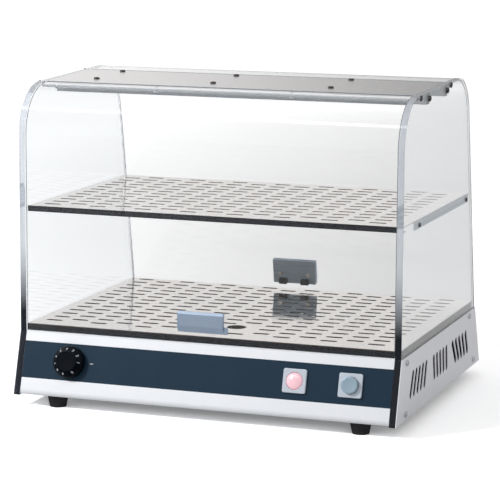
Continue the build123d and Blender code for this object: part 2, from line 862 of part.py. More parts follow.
shaft = Pos(0, 0, -wall_depth - shaft_bite) * Cylinder(
    shaft_diameter / 2, wall_depth + shaft_bite + knob_socket_depth, align=up)
shaft -= block(shaft_diameter / 2 - shaft_flat_depth, shaft_diameter / 2, -shaft_diameter / 2,
               shaft_diameter / 2, bush_reach + knob_gap, knob_socket_depth)
thermostat_shaft = knob_plane * shaft

knob_profile = polygon((0, knob_gap), (knob_diameter / 2, knob_gap),
                       (knob_diameter / 2, knob_rim_height),
                       (knob_face_diameter / 2, knob_height), (0, knob_height))
knob_profile = round_corner(knob_profile, (knob_face_diameter / 2, knob_height), knob_edge_round)
knob_profile = round_corner(knob_profile, (knob_diameter / 2, knob_rim_height), knob_edge_round)
knob_body = revolve(Plane.XZ * knob_profile, Axis.Z)
knob_body -= Pos(0, 0, knob_gap) * Cylinder(knob_recess_diameter / 2, knob_recess_depth, align=up)
knob = cut(knob_plane * knob_body, thermostat_shaft)

thermostat_box = block(-thermostat_width / 2, thermostat_width / 2, -thermostat_height / 2,
                       thermostat_height / 2, -wall_depth - thermostat_depth, -wall_depth)
thermostat_box += Pos(0, 0, -wall_depth) * Cylinder(bush_diameter / 2, wall_depth + bush_reach,
                                                    align=up)
thermostat_box -= Pos(0, 0, -wall_depth - shaft_bite) * Cylinder(
    shaft_diameter / 2 + shaft_clearance, wall_depth + shaft_bite + bush_reach, align=up)
thermostat_nut_local = extrude(RegularPolygon(bush_nut_flats / 2, 6, major_radius=False),
                               bush_nut_height)
thermostat_nut_local -= Cylinder(bush_diameter / 2, bush_nut_height, align=up)

# Pilot lamp and power button, alike but for the piece in the middle


def bezel(place):
    """Square bezel with a round barrel through the front."""
    plate = extrude(RectangleRounded(bezel_size, bezel_size, bezel_corner), bezel_height)
    plate = chamfer(plate.faces().sort_by(Axis.Z)[-1].outer_wire().edges(), bezel_bevel)
    barrel = Pos(0, 0, -barrel_depth) * Cylinder(barrel_diameter / 2, barrel_depth, align=up)
    bore = Pos(0, 0, -barrel_depth) * Cylinder(barrel_bore / 2, barrel_depth + bezel_height,
                                               align=up)
    return place * (plate + barrel - bore)


def control_nut(place):
    """Round nut that clamps a barrel behind the front wall."""
    nut = Cylinder(control_nut_diameter / 2, control_nut_height, align=up)
    nut -= Cylinder(barrel_diameter / 2, control_nut_height, align=up)
    return place * Pos(0, 0, -wall_depth - control_nut_height) * nut


def control_body(place, top):
    """Moulded body behind a barrel, its neck reaching up inside to a given depth."""
    body = Pos(0, 0, -control_body_depth) * Cylinder(
        barrel_diameter / 2, control_body_depth - barrel_depth, align=up)
    neck = Pos(0, 0, -barrel_depth) * Cylinder(barrel_bore / 2, barrel_depth + top, align=up)
    return place * (body + neck)


def tabs(place, spacing, depth):
    """Two flat terminals that stand behind a body."""
    pair = []
    for x in (-spacing / 2, spacing / 2):
        pair.append(place * block(x - tab_thickness / 2, x + tab_thickness / 2, -tab_width / 2,
                                  tab_width / 2, -depth - tab_length, -depth))
    return pair


pilot_plane = front_plane(pilot_x, control_line)
switch_plane = front_plane(switch_x, control_line)
pilot_bezel = bezel(pilot_plane)
switch_bezel = bezel(switch_plane)
control_nuts = [knob_plane * thermostat_nut_local, control_nut(pilot_plane),
                control_nut(switch_plane)]
pilot_body = control_body(pilot_plane, -lens_seat_depth)
switch_body = control_body(switch_plane, -button_depth - button_travel - button_stop_gap)

lens_rim = polygon((0, -lens_seat_depth), (lens_flange_diameter / 2, -lens_seat_depth),
                   (lens_flange_diameter / 2, lens_flange_height - lens_seat_depth),
                   (lens_diameter / 2, lens_flange_height - lens_seat_depth),
                   (lens_diameter / 2, lens_rise), (0, lens_rise))
pilot_lens = revolve(Plane.XZ * lens_rim, Axis.Z)
dome_radius = ((lens_diameter / 2) ** 2 + lens_dome_height ** 2) / (2 * lens_dome_height)
dome = Pos(0, 0, lens_rise + lens_dome_height - dome_radius) * Sphere(dome_radius)
dome &= Pos(0, 0, lens_rise) * Cylinder(lens_diameter / 2, lens_dome_height, align=up)
pilot_lens = pilot_plane * (pilot_lens + dome)

button = Pos(0, 0, -button_depth) * Cylinder(button_diameter / 2, button_depth + button_rise,
                                             align=up)
button = fillet(button.faces().sort_by(Axis.Z)[-1].edges(), button_edge_round)
power_button = switch_plane * button

thermostat_back = wall_depth + thermostat_depth
terminals = tabs(knob_plane, thermostat_tab_spacing, thermostat_back)
terminals += tabs(pilot_plane, control_tab_spacing, control_body_depth)
terminals += tabs(switch_plane, control_tab_spacing, control_body_depth)

knob_hole = knob_plane * Pos(0, 0, -wall_depth) * Cylinder(bush_diameter / 2, wall_depth, align=up)
barrel_hole = Pos(0, 0, -wall_depth) * Cylinder(barrel_diameter / 2, wall_depth, align=up)
front_holes = [knob_hole, pilot_plane * barrel_hole, switch_plane * barrel_hole]
control_panel = cut(control_panel, *front_holes)

# Feet, each screwed up through the base from a recess

feet_solids = []
foot_fixings = []
foot_places = [(x, y) for x in (-foot_x, foot_x)
               for y in (foot_setback - front_flare, case_rear - foot_setback)]
for x, y in foot_places:
    foot = Pos(x, y, 0) * Cone(foot_bottom_diameter / 2, foot_top_diameter / 2, foot_height,
                               align=up)
    foot -= Pos(x, y, 0) * Cylinder(foot_recess_diameter / 2, foot_recess_depth, align=up)
    rubber = foot_height - foot_recess_depth
    screw = large_screw((x, y, foot_recess_depth), (0, 0, 1),
                        rubber + trim_sheet + sheet + foot_screw_bite)
    feet_solids.append(cut(foot, screw))
    foot_fixings.append(screw)
feet = Compound(feet_solids)
foot_screws = Compound(foot_fixings)
lower_front_band = cut(lower_front_band, foot_screws)
base_rear_panel = cut(base_rear_panel, foot_screws, base_rear_screws)
base_pan = cut(base_pan, louvres(-half_inner, -pan_wall_x), louvres(pan_wall_x, half_inner),
               side_cover_screws, foot_screws, base_rear_screws, *front_holes)

# Heating element over a reflector tray

floor_z = pan_bottom_z + sheet
tray_inner_z = tray_bottom + tray_sheet
reflector_tray = block(-tray_half_width, tray_half_width, tray_front_y, tray_rear_y, tray_bottom,
                       tray_bottom + tray_wall_height)
reflector_tray -= block(-tray_half_width + tray_sheet, tray_half_width - tray_sheet,
                        tray_front_y + tray_sheet, tray_rear_y - tray_sheet, tray_inner_z,
                        tray_bottom + tray_wall_height)
posts = []
for x in (-tray_half_width + post_inset, tray_half_width - post_inset):
    for y in (tray_front_y + post_inset, tray_rear_y - post_inset):
        posts.append(rod((x, y, floor_z), (0, 0, 1), post_diameter / 2, tray_bottom - floor_z))
tray_posts = Compound(posts)

leg_ys = [element_front_y + index * element_pitch for index in range(element_legs)]
element_route = [(element_start_x, leg_ys[0], element_height),
                 (element_turn_x, leg_ys[0], element_height),
                 (element_turn_x, leg_ys[1], element_height),
                 (-element_turn_x, leg_ys[1], element_height),
                 (-element_turn_x, leg_ys[2], element_height),
                 (element_turn_x, leg_ys[2], element_height),
                 (element_turn_x, leg_ys[3], element_height),
                 (element_start_x, leg_ys[3], element_height)]
heating_element = rounded_tube(element_route, element_diameter / 2, element_bend)
for y in (leg_ys[0], leg_ys[3]):
    terminals.append(rod((element_start_x, y, element_height), (-1, 0, 0),
                         element_terminal_diameter / 2, element_terminal_length))

bulb_y = (leg_ys[1] + leg_ys[2]) / 2
bulb_z = element_height + bulb_rise
thermostat_bulb = rod((bulb_start_x, bulb_y, bulb_z), (1, 0, 0), bulb_diameter / 2, bulb_length)
clip_top = element_height + element_diameter / 2 + clip_top_margin
clips = []
for x in clip_xs:
    clip = block(x - clip_sheet / 2, x + clip_sheet / 2, leg_ys[0] - clip_margin,
                 leg_ys[3] + clip_margin, tray_inner_z, clip_top)
    clip += block(x - clip_sheet / 2, x + clip_sheet / 2, bulb_y - bulb_lug_width / 2,
                  bulb_y + bulb_lug_width / 2, clip_top, bulb_z + bulb_diameter)
    clips.append(cut(clip, heating_element, thermostat_bulb))
element_clips = Compound(clips)

# Thermostat capillary, from the bulb round the left side to the thermostat


def inward_point(place, x, y):
    """Point on the line through a control's axis height that runs into the case."""
    along = (y - place.origin.Y) / -place.z_dir.Y
    return (x, y, place.origin.Z - along * place.z_dir.Z)


back_y = knob_plane.origin.Y - knob_plane.z_dir.Y * (thermostat_back - capillary_bite)
capillary_route = [(bulb_start_x, bulb_y, bulb_z), (capillary_x, bulb_y, bulb_z),
                   (capillary_x, capillary_y, bulb_z),
                   (capillary_x, capillary_y, inward_point(knob_plane, 0, capillary_y)[2]),
                   inward_point(knob_plane, knob_x, capillary_y),
                   inward_point(knob_plane, knob_x, back_y)]
capillary_tube = rounded_tube(capillary_route, capillary_diameter / 2, capillary_bend)
thermostat_body = cut(knob_plane * thermostat_box, capillary_tube)

# Power inlet, terminal block and leads

inlet_plane = rear_plane(inlet_x, inlet_down)
inlet_local = block(-inlet_flange_width / 2, inlet_flange_width / 2, -inlet_flange_height / 2,
                    inlet_flange_height / 2, 0, inlet_flange_thickness)
inlet_shell = block(-inlet_body_width / 2, inlet_body_width / 2, -inlet_body_height / 2,
                    inlet_body_height / 2, -inlet_body_depth, 0)
inlet_local += inlet_shell
inlet_local -= block(-inlet_socket_width / 2, inlet_socket_width / 2, -inlet_socket_height / 2,
                     inlet_socket_height / 2, inlet_flange_thickness - inlet_socket_depth,
                     inlet_flange_thickness)
inlet_screw_list = []
for x in (-inlet_screw_spacing / 2, inlet_screw_spacing / 2):
    screw = small_screw((x, 0, inlet_flange_thickness), (0, 0, -1),
                        inlet_flange_thickness + trim_sheet + sheet)
    inlet_screw_list.append(inlet_plane * screw)
inlet_screws = Compound(inlet_screw_list)
power_inlet = cut(inlet_plane * inlet_local, inlet_screws)
pin_floor = inlet_flange_thickness - inlet_socket_depth
pins_and_tabs = []
for x in (-inlet_pin_pitch, 0, inlet_pin_pitch):
    pin_solid = block(x - inlet_pin_width / 2, x + inlet_pin_width / 2, -inlet_pin_height / 2,
                      inlet_pin_height / 2, -inlet_body_depth - tab_length,
                      pin_floor + inlet_pin_length)
    pins_and_tabs.append(inlet_plane * pin_solid)
inlet_pins = Compound(pins_and_tabs)
power_inlet = cut(power_inlet, inlet_pins)

vents = []
for index in range(vent_slots):
    x = vent_centre_x + (index - (vent_slots - 1) / 2) * vent_pitch
    slot = extrude(Rot(0, 0, 90) * SlotOverall(vent_length, vent_width), 2 * trim_sheet, both=True)
    vents.append(rear_plane(x, inlet_down) * slot)
base_rear_panel = cut(base_rear_panel, inlet_plane * inlet_shell, inlet_screws, *vents)

terminal_block = block(inlet_x - block_length / 2, inlet_x + block_length / 2,
                       block_y - block_width / 2, block_y + block_width / 2, floor_z,
                       floor_z + block_height)


def port(index, side):
    """Point on the front (-1) or rear (1) of the terminal block, by port."""
    return (inlet_x + index * block_port_pitch, block_y + side * block_width / 2, lead_height)


def tab_tip(place, offset, depth):
    """Middle of the far end of a terminal tab."""
    return tuple((place * Pos(offset, 0, -depth - tab_length)).position)


def front_lead(port_index, place, offset, turn):
    """Lead from a block port along the floor and up to a tab of a front control."""
    start = port(port_index, -1)
    turn_y = lead_turn_y + turn * lead_spacing
    x = place.origin.X + offset
    return [start, (start[0], turn_y, lead_height), (x, turn_y, lead_height),
            inward_point(place, x, turn_y), tab_tip(place, offset, control_body_depth)]


half_tab = control_tab_spacing / 2
half_thermostat_tab = thermostat_tab_spacing / 2
link_y = lead_turn_y + 4 * lead_spacing
link_x = switch_x + half_tab
thermostat_x = knob_x + half_thermostat_tab
feed_x = knob_x - half_thermostat_tab
feed_z = inward_point(knob_plane, feed_x, lead_turn_y)[2]
terminal_x = element_start_x - element_terminal_length
lead_routes = [
    front_lead(-2, switch_plane, -half_tab, 0),
    front_lead(-1, pilot_plane, half_tab, 1),
    front_lead(1, pilot_plane, -half_tab, 2),
    [tab_tip(switch_plane, half_tab, control_body_depth),
     inward_point(switch_plane, link_x, link_y), (link_x, link_y, low_lead_height),
     (thermostat_x, link_y, low_lead_height), inward_point(knob_plane, thermostat_x, link_y),
     tab_tip(knob_plane, half_thermostat_tab, thermostat_back)],
    [tab_tip(knob_plane, -half_thermostat_tab, thermostat_back),
     inward_point(knob_plane, feed_x, lead_turn_y), (-lead_side_x, lead_turn_y, feed_z),
     (-lead_side_x, leg_ys[0], feed_z), (-lead_side_x, leg_ys[0], element_height),
     (terminal_x, leg_ys[0], element_height)],
    [(terminal_x, leg_ys[3], element_height), (-lead_side_x, leg_ys[3], element_height),
     (-lead_side_x, leg_ys[3], lead_height), (-lead_side_x, block_y, lead_height),
     (inlet_x - block_length / 2, block_y, lead_height)]]
for index in (-1, 0, 1):
    tip_x = inlet_x + index * inlet_pin_pitch
    tip = tuple((inlet_plane * Pos(-index * inlet_pin_pitch, 0,
                                   -inlet_body_depth - tab_length)).position)
    bend_y = tip[1] - 2 * lead_bend
    bend_z = tip[2] - 2 * lead_bend * math.tan(rear_angle)
    lead_routes.append([tip, (tip_x, bend_y, bend_z), (tip_x, bend_y, lead_height),
                        (tip_x, block_y + block_width / 2, lead_height)])
internal_leads = Compound([rounded_tube(route, lead_diameter / 2, lead_bend)
                           for route in lead_routes])

# The finished case stands on its feet with its origin under the middle of its outline

pieces = {
    "base_pan": base_pan,
    "upper_front_band": upper_front_band,
    "control_panel": control_panel,
    "lower_front_band": lower_front_band,
    "base_rear_panel": base_rear_panel,
    "rear_panel_screws": Compound(rear_screws + inlet_screw_list),
    "side_panel_left": side_panel_left,
    "side_panel_right": side_panel_right,
    "side_cover_left": side_cover_left,
    "side_cover_right": side_cover_right,
    "side_cover_screws": side_cover_screws,
    "feet": feet,
    "foot_screws": foot_screws,
    "deck_frame": deck_frame,
    "deck_plate": deck_plate,
    "shelf_plate": shelf_plate,
    "shelf_front_trim": shelf_front_trim,
    "shelf_bracket_left": shelf_bracket_left,
    "shelf_bracket_right": shelf_bracket_right,
    "shelf_bracket_screws": shelf_bracket_screws,
    "top_plate": top_plate,
    "front_rail": front_rail,
    "rear_rail": rear_rail,
    "rail_end_blocks": rail_end_blocks,
    "rail_screws": Compound(top_fixings + rail_screws),
    "hinge_pins": hinge_pins,
    "front_hinge_profile": front_hinge_profile,
    "front_pane": front_pane,
    "front_pane_screws": front_pane_screws,
    "front_handle": front_handle,
    "front_handle_screws": front_handle_screws,
    "rear_hinge_profile": rear_hinge_profile,
    "rear_pane": rear_pane,
    "rear_pane_screws": rear_pane_screws,
    "rear_handle": rear_handle,
    "rear_handle_clamp": rear_handle_clamp,
    "rear_handle_bumpers": rear_handle_bumpers,
    "rear_handle_screws": rear_handle_screws,
    "knob": knob,
    "thermostat_shaft": thermostat_shaft,
    "thermostat_body": thermostat_body,
    "thermostat_bulb": thermostat_bulb,
    "capillary_tube": capillary_tube,
    "pilot_bezel": pilot_bezel,
    "pilot_lens": pilot_lens,
    "pilot_body": pilot_body,
    "switch_bezel": switch_bezel,
    "power_button": power_button,
    "switch_body": switch_body,
    "control_nuts": Compound(control_nuts),
    "electrical_terminals": Compound(terminals),
    "reflector_tray": reflector_tray,
    "tray_posts": tray_posts,
    "heating_element": heating_element,
    "element_clips": element_clips,
    "power_inlet": power_inlet,
    "inlet_pins": inlet_pins,
    "terminal_block": terminal_block,
    "internal_leads": internal_leads,
}

whole = Compound(list(pieces.values())).bounding_box()
origin = (whole.center().X, whole.center().Y, whole.min.Z)

if __name__ == "__main__":
    os.makedirs("parts", exist_ok=True)
    for name, piece in pieces.items():
        export_step(Pos(*(-c for c in origin)) * piece, f"parts/{name}.step")
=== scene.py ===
"""Looks of the heated display case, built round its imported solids.

Lengths in the classes are millimetres in the maker's own frame: X to the right, Y from the
front to the back, Z up from the table, with Y = 0 at the upright front edge of the clear sides.
"""

import logging
import math
from dataclasses import dataclass
from enum import Enum

import bpy
import numpy as np
from mathutils import Matrix, Vector

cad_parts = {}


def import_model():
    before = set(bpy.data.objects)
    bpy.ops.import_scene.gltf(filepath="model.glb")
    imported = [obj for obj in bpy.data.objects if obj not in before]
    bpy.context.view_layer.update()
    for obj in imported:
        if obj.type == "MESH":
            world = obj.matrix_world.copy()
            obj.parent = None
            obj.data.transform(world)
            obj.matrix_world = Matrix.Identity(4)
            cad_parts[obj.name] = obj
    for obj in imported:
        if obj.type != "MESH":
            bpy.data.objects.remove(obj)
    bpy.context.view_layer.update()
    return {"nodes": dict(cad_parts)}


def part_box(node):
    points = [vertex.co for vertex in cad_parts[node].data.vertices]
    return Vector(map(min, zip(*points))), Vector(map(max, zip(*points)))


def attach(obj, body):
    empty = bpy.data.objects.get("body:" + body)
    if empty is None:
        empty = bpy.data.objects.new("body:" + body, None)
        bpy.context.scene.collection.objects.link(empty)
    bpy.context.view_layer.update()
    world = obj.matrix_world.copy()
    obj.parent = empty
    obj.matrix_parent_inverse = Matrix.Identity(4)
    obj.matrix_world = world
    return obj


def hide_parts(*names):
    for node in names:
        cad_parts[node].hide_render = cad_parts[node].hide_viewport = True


LOG = logging.getLogger("display_case")
MM = 0.001
FRONT_FLARE = 23.2
REAR_FLARE = 28.4
BASE_HEIGHT = 78.0
FLARE_TOP = 94.0
DEPTH_AT_BASE_TOP = 361.3
TOP_AT_FRONT = 405.5
TOP_SLOPE = 0.0272
TOP_SLOPE_START = 64.0
FRONT_ANGLE = math.atan2(FRONT_FLARE, BASE_HEIGHT)
REAR_ANGLE = math.atan2(REAR_FLARE, BASE_HEIGHT)
SLOPE_ANGLE = math.atan(TOP_SLOPE)

# Share of a normal along an axis over which a face starts to count as facing that way
FACING = (0.45, 0.55)
# Heights in metres between which the sawn edges of the clear sheets darken to painted shade below
EDGE_SHADE_TURN = (0.120, 0.165)
RELIEF_HEIGHT = 0.0002
COAT_ROUGHNESS = 0.12
# Light crosses the thick panels lengthwise, from wall to wall, before it leaves them
BOUNCES = {"max_bounces": 24, "glossy_bounces": 16, "transmission_bounces": 20}

Colour = tuple[float, float, float]
Point = tuple[float, float, float]
Socket = bpy.types.NodeSocket
# Points as rows, and faces as arrays of vertex numbers, one for each count of corners
Shape = tuple[np.ndarray, list[np.ndarray]]


def top_surface(y: float) -> float:
    """Height of the case's top edge at a depth."""
    return TOP_AT_FRONT + (y - TOP_SLOPE_START) * TOP_SLOPE


def in_scene(name: str, data: bpy.types.ID) -> bpy.types.Object:
    """A new object with this data, linked into the scene."""
    thing = bpy.data.objects.new(name, data)
    bpy.context.scene.collection.objects.link(thing)
    return thing


@dataclass(frozen=True)
class Seat:
    """A flat place on the case: its middle, its rightward direction and its outward normal."""

    origin: Point
    right: Point
    normal: Point

    def to_case(self, local: np.ndarray) -> np.ndarray:
        """Puts local points on the seat.

        Args:
            local: Points as rows of right, up and out, in millimetres.

        Returns:
            The same points in the maker's frame.
        """
        normal, right = (np.array(way) / np.linalg.norm(way)
                         for way in (self.normal, self.right))
        up = np.cross(normal, right)
        return np.array(self.origin) + local @ np.stack([right, up, normal])


class Flare(Enum):
    """The two sloping faces of the base: their side, their slope and the depth of their top."""

    FRONT = (-1, FRONT_ANGLE, 0.0)
    REAR = (1, REAR_ANGLE, DEPTH_AT_BASE_TOP)

    def seat(self, x: float, down: float, out: float = 0.0) -> Seat:
        """Seat on the face.

        Args:
            x: Place across the case.
            down: Distance down the slope from its top edge.
            out: Distance out from the face.

        Returns:
            The seat, with its normal out of the case.
        """
        side, angle, depth = self.value
        cos, sin = math.cos(angle), math.sin(angle)
        origin = (x, depth + side * (down * sin + out * cos), FLARE_TOP - down * cos + out * sin)
        return Seat(origin, (-side, 0, 0), (0, side * cos, sin))


class Maker:
    """Turns arrays in the maker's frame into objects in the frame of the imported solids."""

    def __init__(self) -> None:
        """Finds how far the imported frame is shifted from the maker's."""
        low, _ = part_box("side_panel_right")
        self.shift = np.array([0.0, low.y / MM + FRONT_FLARE, 0.0])

    def object(self, name: str, points: np.ndarray, faces: list[np.ndarray], body: str,
               smooth: float = 30.0) -> bpy.types.Object:
        """Makes a piece.

        Args:
            name: The piece's name.
            points: Vertices as rows, in the maker's frame.
            faces: Arrays of vertex numbers, one array for each count of corners.
            body: The body that it rides on.
            smooth: Angle in degrees under which an edge is shaded round.

        Returns:
            The object, in place and riding.
        """
        mesh = bpy.data.meshes.new(name)
        rows = [row for group in faces for row in group.tolist()]
        mesh.from_pydata(((points + self.shift) * MM).tolist(), [], rows)
        mesh.validate()
        mesh.shade_smooth()
        mesh.set_sharp_from_angle(angle=math.radians(smooth))
        piece = in_scene(name, mesh)
        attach(piece, body)
        LOG.info("%s: %d vertices on %s", name, len(points), body)
        return piece


def lathe(radii: np.ndarray, heights: np.ndarray, columns: int,
          ripple: np.ndarray | None = None) -> Shape:
    """A turned shape that is closed at both poles.

    A point at angle t on ring k is (r_k sin t, r_k cos t, h_k), and the ripple is added to r.

    Args:
        radii: Ring radii from the back's middle to the front's middle, poles left out.
        heights: Ring heights, with the back pole's first and the front pole's last.
        columns: Points round a ring.
        ripple: Change of radius for each ring and column.

    Returns:
        The points, and arrays of quads and of triangles.
    """
    angle = np.linspace(0, 2 * math.pi, columns, endpoint=False)
    radius = radii[:, None] + (0 if ripple is None else ripple)
    rings = np.stack([radius * np.sin(angle), radius * np.cos(angle),
                      np.broadcast_to(heights[1:-1, None], (len(radii), columns))], axis=-1)
    points = np.vstack([rings.reshape(-1, 3), [[0, 0, heights[0]], [0, 0, heights[-1]]]])
    return points, ring_faces(len(radii), columns)


def ring_faces(rings: int, columns: int) -> list[np.ndarray]:
    """Faces over stacked rings whose two poles come last, all facing outwards."""
    near = np.arange(columns)
    far = (near + 1) % columns
    row = np.arange(rings - 1)[:, None] * columns
    quads = np.stack([row + near, row + columns + near, row + columns + far, row + far], -1)
    back, front = rings * columns, rings * columns + 1
    last = (rings - 1) * columns
    first_cap = np.stack([near, far, np.full(columns, back)], -1)
    last_cap = np.stack([last + far, last + near, np.full(columns, front)], -1)
    return [quads.reshape(-1, 4), np.vstack([first_cap, last_cap])]


def joined(parts: list[Shape]) -> Shape:
    """Several sets of points and faces as one."""
    starts = np.cumsum([0] + [len(points) for points, _ in parts])
    faces = [group + start for start, (_, groups) in zip(starts, parts) for group in groups]
    return np.vstack([points for points, _ in parts]), faces


class Nodes:
    """A node tree with short calls for adding nodes and links."""

    def __init__(self, tree: bpy.types.NodeTree) -> None:
        """Keeps the tree."""
        self.tree = tree

    def add(self, kind: str, **values: object) -> bpy.types.Node:
        """Adds a node.

        Args:
            kind: The node's type name, without its leading word.
            values: Properties by name, or inputs as "in_" with their name or number.

        Returns:
            The new node.
        """
        node = self.tree.nodes.new("ShaderNode" + kind)
        inputs = {}
        for key, value in values.items():
            if key.startswith("in_"):
                inputs[key[3:]] = value
            else:
                setattr(node, key, value)
        return self.feed(node, inputs)

    def feed(self, node: bpy.types.Node, inputs: dict[str, object]) -> bpy.types.Node:
        """Links or sets inputs of a node by name or number. A node gives its first output."""
        for name, value in inputs.items():
            slot = node.inputs[int(name) if name.isdigit() else name.replace("_", " ")]
            if isinstance(value, bpy.types.Node):
                value = value.outputs[0]
            if isinstance(value, Socket):
                self.tree.links.new(value, slot)
            else:
                slot.default_value = value
        return node

    def math(self, operation: str, first: object, second: object = 0.0) -> Socket:
        """Result of a math node."""
        return self.add("Math", operation=operation, in_0=first, in_1=second).outputs[0]

    def ramp(self, value: object, low: float, high: float, start: float, end: float,
             smooth: bool = False) -> Socket:
        """Value carried from low..high to start..end and held at the ends."""
        return self.add("MapRange", interpolation_type="SMOOTHSTEP" if smooth else "LINEAR",
                        in_0=value, in_1=low, in_2=high, in_3=start, in_4=end).outputs[0]

    def blend(self, share: object, first: object, second: object) -> Socket:
        """Two colours mixed by a share of the second."""
        return self.add("Mix", data_type="RGBA", in_0=share, in_6=first, in_7=second).outputs[2]

    def part(self, vector: Socket, axis: int) -> Socket:
        """One part of a vector, by the number of its axis."""
        return self.add("SeparateXYZ", in_0=vector).outputs[axis]

    def facing(self, axis: int) -> Socket:
        """How far a face looks along an axis of its object, either way."""
        return self.math("ABSOLUTE", self.part(self.add("TexCoord").outputs["Normal"], axis))


class Effect(Enum):
    """Surface effects that several finishes share."""

    MOTTLE = "mottle"
    GRAIN = "grain"
    WORN_EDGE = "worn_edge"


class Effects:
    """The shared node groups, each made once."""

    FINE_SCALE = 4.3
    BROAD_SHARE = 0.6
    FINE_SHARE = 0.4
    PATCH_SCALE = 90.0

    def __init__(self) -> None:
        """Makes every group."""
        self.groups = {
            Effect.MOTTLE: self.mottle(),
            Effect.GRAIN: self.grain(),
            Effect.WORN_EDGE: self.worn_edge(),
        }

    @staticmethod
    def start(name: str, inputs: dict[str, str], outputs: dict[str, str]
              ) -> tuple[Nodes, bpy.types.Node, bpy.types.Node]:
        """Opens a group.

        Args:
            name: The group's name.
            inputs: Socket types by input name.
            outputs: Socket types by output name.

        Returns:
            The nodes, the input node and the output node.
        """
        tree = bpy.data.node_groups.new(name, "ShaderNodeTree")
        for way, sockets in (("INPUT", inputs), ("OUTPUT", outputs)):
            for label, kind in sockets.items():
                tree.interface.new_socket(label, in_out=way, socket_type="NodeSocket" + kind)
        return Nodes(tree), tree.nodes.new("NodeGroupInput"), tree.nodes.new("NodeGroupOutput")

    def mottle(self) -> bpy.types.NodeTree:
        """Slow change of colour and roughness over a surface."""
        nodes, given, made = self.start(
            "surface_mottle",
            {"Vector": "Vector", "Colour": "Color", "Amount": "Float", "Scale": "Float",
             "Roughness": "Float", "Spread": "Float"},
            {"Colour": "Color", "Roughness": "Float"})
        broad = nodes.add("TexNoise", in_Vector=given.outputs["Vector"],
                          in_Scale=given.outputs["Scale"], in_Detail=4.0)
        fine = nodes.add("TexNoise", in_Vector=given.outputs["Vector"],
                         in_Scale=nodes.math("MULTIPLY", given.outputs["Scale"], self.FINE_SCALE),
                         in_Detail=5.0, in_Roughness=0.6)
        share = nodes.math(
            "ADD", nodes.math("MULTIPLY", broad, self.BROAD_SHARE),
            nodes.math("MULTIPLY", fine, self.FINE_SHARE))
        centred = nodes.math("SUBTRACT", share, 0.5)
        gain = nodes.math("MULTIPLY", centred, given.outputs["Amount"])
        bright = nodes.math("ADD", nodes.math("MULTIPLY", gain, 2.0), 1.0)
        tinted = nodes.add("VectorMath", operation="SCALE", in_0=given.outputs["Colour"],
                           in_Scale=bright)
        change = nodes.math("MULTIPLY", nodes.math("SUBTRACT", fine, 0.5),
                            given.outputs["Spread"])
        rough = nodes.math("ADD", given.outputs["Roughness"], nodes.math("MULTIPLY", change, 2.0))
        nodes.feed(made, {"Colour": tinted, "Roughness": rough})
        return nodes.tree

    def grain(self) -> bpy.types.NodeTree:
        """Fine relief, stretched into strokes where the stretch isn't even."""
        nodes, given, made = self.start(
            "surface_grain", {"Vector": "Vector", "Stretch": "Vector", "Detail": "Float"},
            {"Height": "Float"})
        place = nodes.add("VectorMath", operation="MULTIPLY", in_0=given.outputs["Vector"],
                          in_1=given.outputs["Stretch"])
        noise = nodes.add("TexNoise", in_Vector=place, in_Scale=1.0,
                          in_Detail=given.outputs["Detail"], in_Roughness=0.6)
        nodes.feed(made, {"Height": noise})
        return nodes.tree

    def worn_edge(self) -> bpy.types.NodeTree:
        """Mask of the edges that hands and cloths rub, and the normal of a broken edge."""
        nodes, given, made = self.start(
            "worn_edge", {"Vector": "Vector", "Radius": "Float", "Amount": "Float"},
            {"Mask": "Float", "Normal": "Vector"})
        bevel = nodes.add("Bevel", samples=4, in_Radius=given.outputs["Radius"])
        flat = nodes.add("NewGeometry")
        same = nodes.add("VectorMath", operation="DOT_PRODUCT", in_0=bevel,
                         in_1=flat.outputs["True Normal"])
        edge = nodes.ramp(same.outputs["Value"], 0.995, 0.80, 0.0, 1.0)
        patch = nodes.add("TexNoise", in_Vector=given.outputs["Vector"],
                          in_Scale=self.PATCH_SCALE, in_Detail=3.0)
        rubbed = nodes.ramp(patch, 0.40, 0.62, 0.15, 1.0)
        mask = nodes.math("MULTIPLY", nodes.math("MULTIPLY", edge, rubbed),
                          given.outputs["Amount"])
        nodes.feed(made, {"Mask": mask, "Normal": bevel})
        return nodes.tree

    def place(self, nodes: Nodes, effect: Effect, **inputs: object) -> bpy.types.Node:
        """Puts a group into a material, with its inputs as keywords."""
        node = nodes.tree.nodes.new("ShaderNodeGroup")
        node.node_tree = self.groups[effect]
        return nodes.feed(node, inputs)


class Relief(Enum):
    """Kinds of fine relief: how much finer than a metre the strokes are in X, Y and Z."""

    MOULDED = (900.0, 900.0, 900.0)
    PEEL = (420.0, 420.0, 420.0)
    BRUSHED_ACROSS = (14.0, 1500.0, 1500.0)
    ROLLED = (160.0, 160.0, 160.0)


